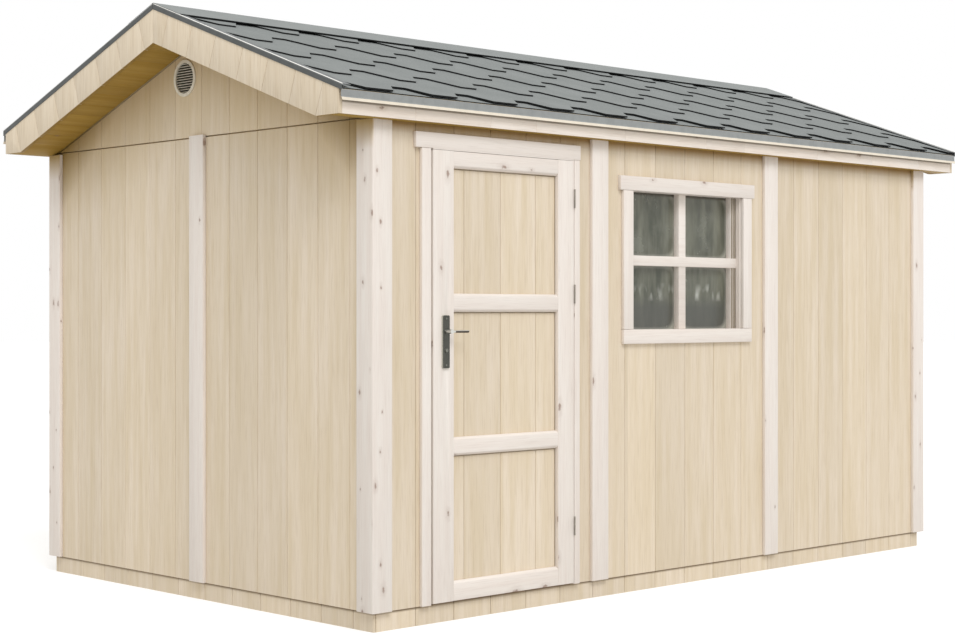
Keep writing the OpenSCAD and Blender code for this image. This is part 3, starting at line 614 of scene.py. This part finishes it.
def run_of_boards(side, start, end, low, high, face, depth, joint, pitch, seed, slot=BOARD_SLOT):
    """Upright boards from start to end, with their outer face at a distance from the middle."""
    first = math.floor((start - joint) / pitch + ROUND_OFF)
    last = math.ceil((end - joint) / pitch - ROUND_OFF)
    left, tongue = joint + first * pitch, (slot - BOARD_PLAY) / 2
    board = block((left + slot / 2, -face, low), (left + pitch - slot / 2, depth - face, high))
    bpy.ops.object.mode_set(mode="EDIT")
    bpy.ops.mesh.select_all(action="SELECT")
    bpy.ops.mesh.bisect(plane_co=(0.0, BOARD_REBATE - face, 0.0), plane_no=(0.0, 1.0, 0.0))
    for way in (-1.0, 1.0):
        choose(board, "FACE", lambda f: f.normal.x * way > 0.9
               and f.calc_center_median().y > BOARD_REBATE - face)
        bpy.ops.mesh.extrude_region_move(TRANSFORM_OT_translate={"value": (way * tongue, 0.0, 0.0)})
    bpy.ops.object.mode_set(mode="OBJECT")

    def outer(vert):
        return abs(vert.co.y + face) < TOUCH

    def inner(vert):
        from_middle = abs(vert.co.x - left - pitch / 2)
        return abs(vert.co.y + face - depth) < TOUCH and from_middle > (pitch - slot) / 2 + tongue / 2

    bevel_edges(board, lambda e: rise(e) > 0.5 * (high - low)
                and (all(map(outer, e.verts)) or all(map(inner, e.verts))), BOARD_CHAMFER, 1)
    row = board.modifiers.new("row", "ARRAY")
    row.count, row.use_relative_offset, row.use_constant_offset = last - first, False, True
    row.constant_offset_displace = (pitch, 0.0, 0.0)
    bpy.ops.object.modifier_apply(modifier=row.name)
    if left < start - TOUCH:
        trim_off(board, (start, 0.0, 0.0), (-1.0, 0.0, 0.0))
    if joint + last * pitch > end + TOUCH:
        trim_off(board, (end, 0.0, 0.0), (1.0, 0.0, 0.0))
    numbered(board, lambda f: random.Random(seed + math.floor((f.center.x - joint) / pitch)).random())
    take(board)
    board.rotation_euler = (0.0, 0.0, TURN[side])
    bpy.ops.object.transform_apply(location=False, rotation=True, scale=False)
    return board


print("runs may face:", ", ".join(TURN))

# %% [markdown]
# ## Wall cladding
# The front is clad in runs round the doorway and the window. One large run could be cut out for them, but
# runs of the right heights need no cutting. The joints keep one spacing over all of them, as if each board
# had been cut round the openings. The back and the ends are plain runs, and the gable triangles are runs of
# their own, cut off along the slopes, with a thin shadow slot under the soffit and a bored hole for the vent.

# %% Clad the front and the back
FRONT_PITCH, FRONT_JOINT = 0.2115, -0.033
clad_depth = wall_high.y - wall_low.y
over_low, over_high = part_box("front_wall_over_door")
window_low, window_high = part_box("window_lining")
FRONT_RUNS = (
    (-wall_end, over_low.x, wall_low.z, wall_high.z, 100),
    (over_low.x, over_high.x, over_low.z, wall_high.z, 200),
    (over_high.x, window_low.x, wall_low.z, wall_high.z, 300),
    (window_low.x, window_high.x, wall_low.z, window_low.z, 400),
    (window_low.x, window_high.x, window_high.z, wall_high.z, 400),
    (window_high.x, wall_end, wall_low.z, wall_high.z, 500),
)
front_cladding = joined([
    run_of_boards("front", *span, front_face, clad_depth, FRONT_JOINT, FRONT_PITCH, seed)
    for *span, seed in FRONT_RUNS], "front_cladding")
dress(front_cladding, "shed", "cladding", ["front_wall_left", "front_wall_over_door", "front_wall_by_door",
      "front_wall_window", "front_wall_right"], front_wood["upright"])
back_low, back_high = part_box("back_wall")
back_cladding = joined([run_of_boards("back", back_low.x, back_high.x, back_low.z, back_high.z, back_high.y,
                                      clad_depth, FRONT_JOINT, FRONT_PITCH, 600)], "back_cladding")
dress(back_cladding, "shed", "cladding", ["back_wall"], front_wood["upright"])

# %% Helpers for the gables
BORE_SIDES, BORE_DEEP = 48, 0.2


def bore(piece, centre, radius, turn):
    """Bores a round hole right through a piece."""
    bpy.ops.object.select_all(action="DESELECT")
    bpy.ops.mesh.primitive_cylinder_add(vertices=BORE_SIDES, radius=radius, depth=BORE_DEEP, location=centre,
                                        rotation=turn)
    cut_away(piece, bpy.context.object)


def turn_to_slope(piece, top, way):
    """Turns a level piece down one slope of the roof from the given height."""
    take(piece)
    piece.location = (0.0, 0.0, top)
    piece.rotation_euler = (-way * ROOF_PITCH, 0.0, 0.0)
    bpy.ops.object.transform_apply(location=True, rotation=True, scale=True)
    return piece


def on_slope(low, high, top, way):
    """A block whose level Y runs down one slope of the roof from the given height."""
    return turn_to_slope(block((low[0], low[1] * way, low[2]), (high[0], high[1] * way, high[2])), top, way)


print("roof pitch:", round(math.degrees(ROOF_PITCH), 1), "degrees")

# %% Clad the ends and the gables
END_PITCH, END_JOINT, VENT_HOLE = 0.203, -0.039, 0.0712
SOFFIT_DEEP, SLOT_TALL, SLOT_DEEP, SLOPE_RUN = 0.016, 0.005, 0.013, 2.0
OVER_SLOPE = (-3.0, -0.6, 0.0), (3.0, SLOPE_RUN, 1.0)
vent_low, vent_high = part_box("gable_vents")
vent_y, vent_z = (vent_low.y + vent_high.y) / 2, (vent_low.z + vent_high.z) / 2
for side, out in (("left", -1), ("right", 1)):
    low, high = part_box(side + "_wall")
    face = high.x if out > 0 else -low.x
    sizes = (face, clad_depth, END_JOINT * out, END_PITCH)
    wall = joined([run_of_boards(side, low.y, high.y, low.z, high.z, *sizes, 700 + 50 * out)],
                  side + "_cladding")
    dress(wall, "shed", "cladding", [side + "_wall"], end_wood["upright"])
    low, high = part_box(side + "_gable")
    gable = joined([run_of_boards(side, low.y, high.y, low.z, high.z, *sizes, 800 + 50 * out)],
                   side + "_gable_cladding")
    for way in (-1, 1):
        cut_away(gable, on_slope(*OVER_SLOPE, high.z, way))
        cut_away(gable, on_slope((out * (face - SLOT_DEEP), 0.0, -SOFFIT_DEEP - SLOT_TALL),
                                 (out * (face + SLOT_DEEP), SLOPE_RUN, -SOFFIT_DEEP), roof_line, way))
    bore(gable, (out * face, vent_y, vent_z), VENT_HOLE, (0.0, math.pi / 2, 0.0))
    dress(gable, "shed", "cladding", [side + "_gable"], end_wood["upright"])

# %% [markdown]
# ## Base band
# A band of short blocks runs round the foot, set back a little under the cladding. It is made of runs like
# the walls, with slightly wider joints. The corners of the band are rounded, as if planed by hand.

# %% Build the base band
BASE_JOINT, BASE_END_JOINT, BASE_SLOT = -0.0275, -0.052, 0.0023
BEARER, BASE_ROUND, CORNER_NEAR, ROUND_STEPS = 0.045, 0.012, 1e-3, 4
base_low, base_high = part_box("base_bearers")


def round_corners(piece, reach, radius):
    """Rounds the upright edges that stand at the outer corners of the plan."""
    bevel_edges(piece, lambda e: rise(e) > 0.01 and all(
        abs(v.co.x) > reach.x - CORNER_NEAR and abs(v.co.y) > reach.y - CORNER_NEAR for v in e.verts),
        radius, ROUND_STEPS)


end_start, end_stop = base_low.y + BEARER, base_high.y - BEARER
BASE_RUNS = {
    "front": (base_low.x, base_high.x, -base_low.y, BASE_JOINT, FRONT_PITCH, 900),
    "back": (base_low.x, base_high.x, base_high.y, BASE_JOINT, FRONT_PITCH, 920),
    "left": (end_start, end_stop, -base_low.x, -BASE_END_JOINT, END_PITCH, 940),
    "right": (end_start, end_stop, base_high.x, BASE_END_JOINT, END_PITCH, 960),
}
base_band = joined([
    run_of_boards(side, start, end, 0.0, base_high.z, face, BEARER, joint, pitch, seed, BASE_SLOT)
    for side, (start, end, face, joint, pitch, seed) in BASE_RUNS.items()], "base_band")
round_corners(base_band, base_high, BASE_ROUND)
dress(base_band, "shed", "cladding", ["base_bearers"], base_wood["upright"])

# %% [markdown]
# ## Door boards
# The leaf is boarded like the walls, inside a frame of stiles and rails. The hole for the spindle is bored
# through, so that the lever can turn freely.

# %% Board the door leaf
SPINDLE_HOLE, DOOR_JOINT = 0.0135, -1.030
leaf_low, leaf_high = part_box("door_boards")
lever_low, lever_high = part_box("door_lever")
spindle_z = (lever_low.z + lever_high.z) / 2
door_boarding = joined([run_of_boards(
    "front", leaf_low.x, leaf_high.x, leaf_low.z, leaf_high.z, -leaf_low.y, leaf_high.y - leaf_low.y,
    DOOR_JOINT, FRONT_PITCH, 1000)], "door_boarding")
bore(door_boarding, (spindle_x, leaf_low.y, spindle_z), SPINDLE_HOLE, (math.pi / 2, 0.0, 0.0))
dress(door_boarding, "door", "cladding", ["door_boards"], clad_wood["upright"])

# %% [markdown]
# ## Trims with eased edges
# A planed board never has a knife edge. The trims could be built anew, but the frame already has their true
# places. So each starts as a copy of its solid, whose loose triangles are merged and melted into flat faces,
# and a bevel eases the edges. Every board of the copy then gets its own number and, where there is a choice,
# the wood whose grain runs along its longest side.


# %% Helpers for boards in a copy
def islands(mesh):
    """Lists of face numbers, one list for each separate board."""
    shape = bmesh.new()
    shape.from_mesh(mesh)
    shape.faces.ensure_lookup_table()
    left, found = set(range(len(shape.faces))), []
    while left:
        pile, group = [left.pop()], []
        while pile:
            face = shape.faces[pile.pop()]
            group.append(face.index)
            for edge in face.edges:
                for other in edge.link_faces:
                    if other.index in left:
                        left.discard(other.index)
                        pile.append(other.index)
        found.append(sorted(group))
    shape.free()
    return sorted(found)


def corners_of(mesh, group):
    return [mesh.vertices[v].co for face in group for v in mesh.polygons[face].vertices]


def grain_by_length(mesh, group):
    corners = corners_of(mesh, group)
    spans = [max(c[i] for c in corners) - min(c[i] for c in corners) for i in range(3)]
    return ("along_x", "along_y", "upright")[spans.index(max(spans))]


def cut_to_lengths(piece, spans):
    """Cuts a piece into lengths. Each span lists the planes that bound one length."""
    lengths = []
    for planes in spans:
        length = piece.copy()
        length.data = piece.data.copy()
        bpy.context.scene.collection.objects.link(length)
        for point, normal in planes:
            trim_off(length, point, normal)
        lengths.append(length)
    bpy.data.objects.remove(piece)
    return joined(lengths, "lengths")


print("loose parts of the door's rails before merging:", len(islands(nodes["door_rails"].data)))

# %% Helper for eased copies
EASE, EASE_STEPS, EASE_FROM = 0.0025, 2, math.radians(35.0)
MELT_WITHIN, SMOOTH_WITHIN = math.radians(1.0), math.radians(40.0)


def eased_copy(node, name, ease, spans, shaped):
    piece = bpy.data.objects.new(name, nodes[node].data.copy())
    bpy.context.scene.collection.objects.link(piece)
    take(piece)
    bpy.ops.mesh.customdata_custom_splitnormals_clear()
    bpy.ops.object.mode_set(mode="EDIT")
    bpy.ops.mesh.select_all(action="SELECT")
    bpy.ops.mesh.remove_doubles(threshold=TOUCH)
    bpy.ops.mesh.dissolve_limited(angle_limit=MELT_WITHIN)
    bpy.ops.object.mode_set(mode="OBJECT")
    if spans:
        piece = cut_to_lengths(piece, spans)
        piece.name = piece.data.name = name
    if shaped:
        shaped(piece)
    take(piece)
    bevel = piece.modifiers.new("eased", "BEVEL")
    bevel.width, bevel.segments = ease, EASE_STEPS
    bevel.limit_method, bevel.angle_limit = "ANGLE", EASE_FROM
    bpy.ops.object.modifier_apply(modifier=bevel.name)
    bpy.ops.object.shade_smooth_by_angle(angle=SMOOTH_WITHIN)
    return piece


def ease_boards(node, body, slot, woods, ease=EASE, spans=None, shaped=None):
    """Spans are lengths to cut the copy into. Shaped works on the copy before its edges are eased."""
    piece = eased_copy(node, "eased_" + node, ease, spans, shaped)
    mesh, draw, grains = piece.data, random.Random(len(node)), list(woods)
    numbers, places = [0.0] * len(mesh.polygons), [0] * len(mesh.polygons)
    for group in islands(mesh):
        number = draw.random()
        place = grains.index(grain_by_length(mesh, group)) if len(grains) > 1 else 0
        for face in group:
            numbers[face], places[face] = number, place
    numbered(piece, lambda f: numbers[f.index])
    dress(piece, body, slot, [node], *woods.values())
    mesh.polygons.foreach_set("material_index", places)
    return piece


print("edges eased by", EASE)

# %% [markdown]
# ## Trims, door frame and window
# The corner posts are rounded at their outer corners. The rails of the door are chamfered along their front
# edges, which draws a bright line over each and a soft shade under it. All other boards are just eased.

# %% Ease the trims, the door frame and the window
RAIL_CHAMFER, POST_ROUND = 0.010, 0.009
rail_low, rail_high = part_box("door_rails")


def chamfer_rails(piece):
    """Chamfers the long front edges of the rails where they meet the panels."""
    bevel_edges(piece, lambda e: rise(e) < TOUCH and all(v.co.y < rail_low.y + TOUCH for v in e.verts)
                and leaf_low.z + RAIL_CHAMFER < e.verts[0].co.z < leaf_high.z - RAIL_CHAMFER, RAIL_CHAMFER, 1)


ease_boards("corner_trims", "shed", "trim", post_wood,
            shaped=lambda piece: round_corners(piece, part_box("corner_trims")[1], POST_ROUND))
for trims in ("wall_battens", "door_trims", "window_trims"):
    ease_boards(trims, "shed", "trim", trim_wood)
for bars in ("window_lining", "window_bars"):
    ease_boards(bars, "shed", "trim", bar_wood)
ease_boards("door_stiles", "door", "trim", trim_wood)
leaf_rails = ease_boards("door_rails", "door", "trim", trim_wood, shaped=chamfer_rails)
for inside in ("door_stops", "door_threshold", "floor_boards"):
    ease_boards(inside, "shed", "framing", frame_wood)

# %% [markdown]
# ## Panel grooves
# The door's boards are grooved where the frame of the leaf meets them at the head and the sides, which draws
# a thin dark line there. A groove could be drawn in the finish, but a cut one is right from every side. A
# block of the panel's size becomes a ring: its front and back are inset and bridged. The foot of the ring
# comes off first, since the boards run straight down to the rail below, and the rest is cut away.

# %% Cut the panel grooves
GROOVE_WIDE, GROOVE_DEEP = 0.005, 0.009
rail_heights = sorted((min(zs), max(zs)) for zs in (
    [corner.z for corner in corners_of(leaf_rails.data, group)] for group in islands(leaf_rails.data)))
for (_, panel_foot), (panel_head, _) in zip(rail_heights, rail_heights[1:]):
    ring = block((rail_low.x, leaf_low.y - GROOVE_DEEP, panel_foot - GROOVE_WIDE),
                 (rail_high.x, leaf_low.y + GROOVE_DEEP, panel_head))
    bpy.ops.object.mode_set(mode="EDIT")
    choose(ring, "FACE", lambda f: abs(f.normal.y) > 0.9)
    bpy.ops.mesh.inset(thickness=GROOVE_WIDE)
    bpy.ops.mesh.bridge_edge_loops()
    bpy.ops.mesh.select_all(action="SELECT")
    bpy.ops.mesh.normals_make_consistent(inside=False)
    bpy.ops.object.mode_set(mode="OBJECT")
    cut_away(ring, block((leaf_low.x, leaf_low.y - 2 * GROOVE_DEEP, leaf_low.z),
                         (leaf_high.x, leaf_low.y + 2 * GROOVE_DEEP, panel_foot)))
    cut_away(door_boarding, ring)
print("panel grooves:", len(rail_heights) - 1, "faces:", len(door_boarding.data.polygons))

# %% [markdown]
# ## Lip under the door's head
# The leaf needs room above it to turn, but from the front the trim over the door seems to meet it. The leaf
# could be made taller, but then it would bind. Instead, a slim lip under that trim covers most of the room.
# It is a bar whose lower front edge is bevelled, and it stays clear of the leaf.

# %% Fit the lip
LIP_CLEAR, LIP_SET_BACK, LIP_LAP, LIP_EDGE, LIP_NUMBER = 0.0013, 0.0012, 0.0005, 0.0006, 0.5
lip_front, lip_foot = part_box("door_trims")[0].y + LIP_SET_BACK, leaf_high.z + LIP_CLEAR
head_lip = joined([block((leaf_low.x, lip_front, lip_foot),
                         (leaf_high.x, -front_face, over_low.z + LIP_LAP))], "head_lip")
bevel_edges(head_lip, lambda e: all(v.co.y < lip_front + TOUCH and v.co.z < lip_foot + TOUCH
                                    for v in e.verts), LIP_EDGE, 2)
numbered(head_lip, lambda f: LIP_NUMBER)
dress(head_lip, "shed", "trim", [], trim_wood["along_x"])

# %% [markdown]
# ## Window beads
# Slim upright beads line the sash and the sides of the window's opening. They could be cut as grooves, but a
# bead stands proud and catches the light on its own. One bead is a bar whose two front edges are bevelled. It
# is modelled for each place, because the lengths differ at the cross bar.

# %% Line the window with beads
CROSS_OUT, CROSS_BAR = 0.004, 0.046
BEAD_WIDE, BEAD_PROUD, BEAD_SUNK, BEAD_EDGE, BEAD_NUMBER = 0.0055, 0.003, 0.0005, 0.0012, 0.4
SASH_INSETS, REVEAL_INSETS = (0.007, 0.019, 0.031), (0.008, 0.017, 0.026)
bars_low, bars_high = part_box("window_bars")
sash_face = bars_low.y + CROSS_OUT
cross_z = (bars_low.z + bars_high.z) / 2
sash_heights = (bars_low.z, cross_z - CROSS_BAR / 2), (cross_z + CROSS_BAR / 2, bars_high.z)


def upright_bead(back, front, axis):
    """A bar between a back and a front corner. Along the axis, its front's upright edges are bevelled."""
    bead = block(back, front)
    bevel_edges(bead, lambda e: rise(e) > 0.05 and all(
        abs(v.co[axis] - front[axis]) < TOUCH for v in e.verts), BEAD_EDGE, 2)
    return bead


sash_row, reveal_row = [], []
for way in (-1.0, 1.0):
    jamb = bars_low.x if way < 0 else bars_high.x
    for inset in SASH_INSETS:
        centre = jamb - way * inset
        for foot, head in sash_heights:
            sash_row.append(upright_bead((centre - BEAD_WIDE / 2, sash_face + BEAD_SUNK, foot),
                                         (centre + BEAD_WIDE / 2, sash_face - BEAD_PROUD, head), 1))
    for inset in REVEAL_INSETS:
        centre = window_low.y + inset
        reveal_row.append(upright_bead((jamb + way * BEAD_SUNK, centre - BEAD_WIDE / 2, bars_low.z),
                                       (jamb - way * BEAD_PROUD, centre + BEAD_WIDE / 2, bars_high.z), 0))
for row, name, wood in ((sash_row, "sash_beads", bead_wood), (reveal_row, "reveal_beads", bar_wood)):
    beads = joined(row, name)
    numbered(beads, lambda f: BEAD_NUMBER)
    dress(beads, "shed", "trim", [], wood["upright"])

# %% [markdown]
# ## Boards at the roof's edges
# Bargeboards, fascias and gable soffits are made of short lengths with fine cross joints. The joints could
# be drawn, but cut lengths can each have their own tone and eased ends. So a copy of each solid is bisected
# square to its run. The gable soffits also stop a little short of the wall, which leaves a shadow gap.


# %% Helpers for lengths
def spans_between(steps, origin, along, gap=0.0):
    """The planes that bound each length between cuts, which lie at steps along a way from the origin."""
    origin, along = Vector(origin), Vector(along)
    starts = [[]] + [[(origin + along * (step + gap / 2), -along)] for step in steps]
    ends = [[(origin + along * (step - gap / 2), along)] for step in steps] + [[]]
    return [start + end for start, end in zip(starts, ends)]


def spans_down_slopes(high, steps, gap=0.0):
    """Lengths cut square to the slope, on the front and then on the back of the roof."""
    return [[((0.0, 0.0, 0.0), (0.0, -way, 0.0))] + planes for way in (-1, 1) for planes in spans_between(
        steps, (0.0, 0.0, high), (0.0, way * math.cos(ROOF_PITCH), -math.sin(ROOF_PITCH)), gap)]


print("two cuts give", len(spans_between((1.0, 2.0), (0.0, 0.0, 0.0), (1.0, 0.0, 0.0))), "lengths")

# %% Ease the roof's edge boards
BARGE_STEPS, BARGE_GAP = (0.12, 0.31, 0.49, 0.69, 0.87, 1.06, 1.24), 0.002
FASCIA_STEPS = (-1.78, -1.36, -1.09, -0.52, 0.05, 0.34, 0.93, 1.41, 1.85)
SOFFIT_BOARD, SHADOW_GAP = 0.115, 0.003
BARGE_EASE, FASCIA_EASE, GABLE_SOFFIT_EASE, EAVE_SOFFIT_EASE = 0.002, 0.0015, 0.001, 0.0015
SOFFIT_STEPS = tuple(SOFFIT_BOARD * i for i in range(1, 12))
soffit_spans = [planes + [((end * (wall_end + SHADOW_GAP), 0.0, 0.0), (-end, 0.0, 0.0))]
                for end in (-1.0, 1.0)
                for planes in spans_down_slopes(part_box("gable_soffits")[1].z, SOFFIT_STEPS)]
ease_boards("bargeboards", "shed", "trim", barge_wood, BARGE_EASE,
            spans_down_slopes(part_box("bargeboards")[1].z, BARGE_STEPS, BARGE_GAP))
ease_boards("fascias", "shed", "trim", fascia_wood, FASCIA_EASE,
            spans_between(FASCIA_STEPS, (0.0, 0.0, 0.0), (1.0, 0.0, 0.0)))
ease_boards("gable_soffits", "shed", "soffit", soffit_wood, GABLE_SOFFIT_EASE, soffit_spans)
ease_boards("eave_soffits", "shed", "soffit", soffit_wood, EAVE_SOFFIT_EASE)

# %% [markdown]
# ## Verge beads
# A rolled bead runs along the outer top edge of each verge flashing, and its near-white colour is a painted
# highlight where that edge catches the light. A swept curve would do, but the run is straight: a thin bar
# with bevelled upper edges is made level and then turned to the slope.

# %% Roll the verge beads
ROLL_WIDE, ROLL_HIGH, ROLL_SUNK, ROLL_ROUND, ROLL_FROM_RIDGE = 0.007, 0.003, 0.0005, 0.0022, 0.004
slope_length = verge_high.y / math.cos(ROOF_PITCH)
rolls = []
for end in (-1, 1):
    for way in (-1, 1):
        roll = block((end * verge_high.x, way * ROLL_FROM_RIDGE, -ROLL_SUNK),
                     (end * (verge_high.x - ROLL_WIDE), way * slope_length, ROLL_HIGH))
        bevel_edges(roll, lambda e: all(v.co.z > 0.5 * ROLL_HIGH for v in e.verts)
                    and abs(e.verts[0].co.y - e.verts[1].co.y) > 0.5, ROLL_ROUND, 3)
        rolls.append(turn_to_slope(roll, verge_high.z, way))
verge_beads = joined(rolls, "verge_beads")
dress(verge_beads, "shed", "flashing", [], bead_highlight_metal)

# %% [markdown]
# ## Lock details
# Each lock plate is held by two screws and shows the face of a key cylinder. Both are round heads, so one
# helper makes them: a short cylinder whose outer rim is bevelled, with a slot cut into its face.

# %% Add the screws and the key faces
KEY_DROP, KEY_OUT, SCREW_IN, HEAD_SUNK, HEAD_SIDES = 0.077, 0.004, 0.013, 0.0002, 32
KEY_HEAD = 0.0074, 0.0008, 0.0003, (0.0022, 0.0098, 0.0005)
SCREW_HEAD = 0.0042, 0.0022, 0.0009, (0.0012, 0.0075, 0.0008)


def round_head(centre, way, radius, height, rim, slot):
    """A round head along Y with a bevelled rim and a slot, wide, tall and deep, in its outer face."""
    bpy.ops.object.select_all(action="DESELECT")
    bpy.ops.mesh.primitive_cylinder_add(
        vertices=HEAD_SIDES, radius=radius, depth=height, rotation=(math.pi / 2, 0.0, 0.0),
        location=Vector(centre) + Vector((0.0, way * height / 2, 0.0)))
    bpy.ops.object.transform_apply(location=True, rotation=True, scale=True)
    head = bpy.context.object
    outer = centre[1] + way * height
    bevel_edges(head, lambda e: all(abs(v.co.y - outer) < TOUCH for v in e.verts), rim, 2)
    wide, tall, deep = slot
    cut_away(head, block((centre[0] - wide / 2, outer - deep, centre[2] - tall / 2),
                         (centre[0] + wide / 2, outer + deep, centre[2] + tall / 2)))
    return head


lock_heads = []
for way, face in ((-1.0, plate_low.y), (1.0, plate_high.y)):
    key_y = face - way * HEAD_SUNK
    lock_heads.append(round_head((spindle_x, key_y, spindle_z - KEY_DROP), way, *KEY_HEAD))
    for z in (plate_low.z + SCREW_IN, plate_high.z - SCREW_IN):
        lock_heads.append(round_head((spindle_x, key_y - way * KEY_OUT, z), way, *SCREW_HEAD))
lock_details = joined(lock_heads, "lock_details")
dress(lock_details, "door", "hardware", [], bright_steel)

# %% [markdown]
# ## Solids that stay as they are
# The frame inside, the felt, the metal and the glass already have their true shapes. They keep their
# solids and get a better finish.

# %% Finish the solids that stay
STAYING = {
    frame_wood["upright"]: ("front_studs", "back_studs", "end_studs", "door_posts"),
    frame_wood["along_x"]: ("top_plates", "sole_plates", "door_lintel", "ridge_beam", "roof_deck"),
    frame_wood["along_y"]: ("floor_joists", "rafters"),
    hinge_steel: ("door_hinges_frame", "door_hinges_leaf"), plate_steel: ("door_lock_plates",),
    lever_steel: ("door_lever",), pane_glass: ("window_glass",), vent_paint: ("gable_vents",),
    shingle_felt: ("roof_shingles",), cap_felt: ("ridge_cap",),
    eave_metal: ("eave_flashings",), verge_metal: ("verge_flashings",),
}
for material, solids in STAYING.items():
    for node in solids:
        nodes[node].data.materials.clear()
        nodes[node].data.materials.append(material)
print("finished solids:", sum(map(len, STAYING.values())))

# %% [markdown]
# ## Floor and light
# A wide white floor and a white surrounding give the pale studio. More light would bleach the wood, so the
# white is shown only to rays that the picture sees, and the shed gets a plain level. A soft lamp from the
# front left, high up, makes the front a little brighter than the gable end.

# %% Studio floor
FLOOR_SIZE, FLOOR_GREY, FLOOR_GLOW = 120.0, (0.64, 0.64, 0.64, 1.0), 0.42
WHITE = (1.0, 1.0, 1.0, 1.0)
bpy.ops.object.select_all(action="DESELECT")
bpy.ops.mesh.primitive_plane_add(size=FLOOR_SIZE)
studio_floor = bpy.context.object
studio_floor.name = "studio_floor"
floor_finish = Finish("studio_white")
floor_finish.shade({"Base Color": FLOOR_GREY, "Roughness": 0.9, "Specular IOR Level": 0.0,
                    "Emission Color": WHITE,
                    "Emission Strength": floor_finish.math("MULTIPLY", floor_finish.seen(), FLOOR_GLOW)})
studio_floor.data.materials.append(floor_finish.material)
print("floor:", FLOOR_SIZE, "m wide")

# %% Studio light
SKY_LIGHT, WARM_AIR = 0.9, (1.0, 0.988, 0.955, 1.0)
LAMP_POWER, LAMP_COLOUR, LAMP_SPREAD = 1.27, (0.98, 0.99, 1.04), math.radians(25.0)
LAMP_WAY = Vector((0.45, 1.0, -1.15))
world = bpy.data.worlds.new("studio")
bpy.context.scene.world = world
world.use_nodes = True
air = Network(world.node_tree)
background, seen = air.nodes["Background"].inputs, air.seen()
air.feed(background["Strength"], air.math("ADD", air.math("MULTIPLY", seen, 1.0 - SKY_LIGHT), SKY_LIGHT))
air.feed(background["Color"], air.mix(seen, WARM_AIR, WHITE))
lamp_data = bpy.data.lights.new("soft_lamp", "SUN")
lamp_data.energy, lamp_data.color, lamp_data.angle = LAMP_POWER, LAMP_COLOUR, LAMP_SPREAD
lamp = bpy.data.objects.new("soft_lamp", lamp_data)
lamp.rotation_euler = LAMP_WAY.to_track_quat("-Z", "Y").to_euler()
bpy.context.scene.collection.objects.link(lamp)
print("lamp shines along", tuple(round(v, 2) for v in LAMP_WAY))
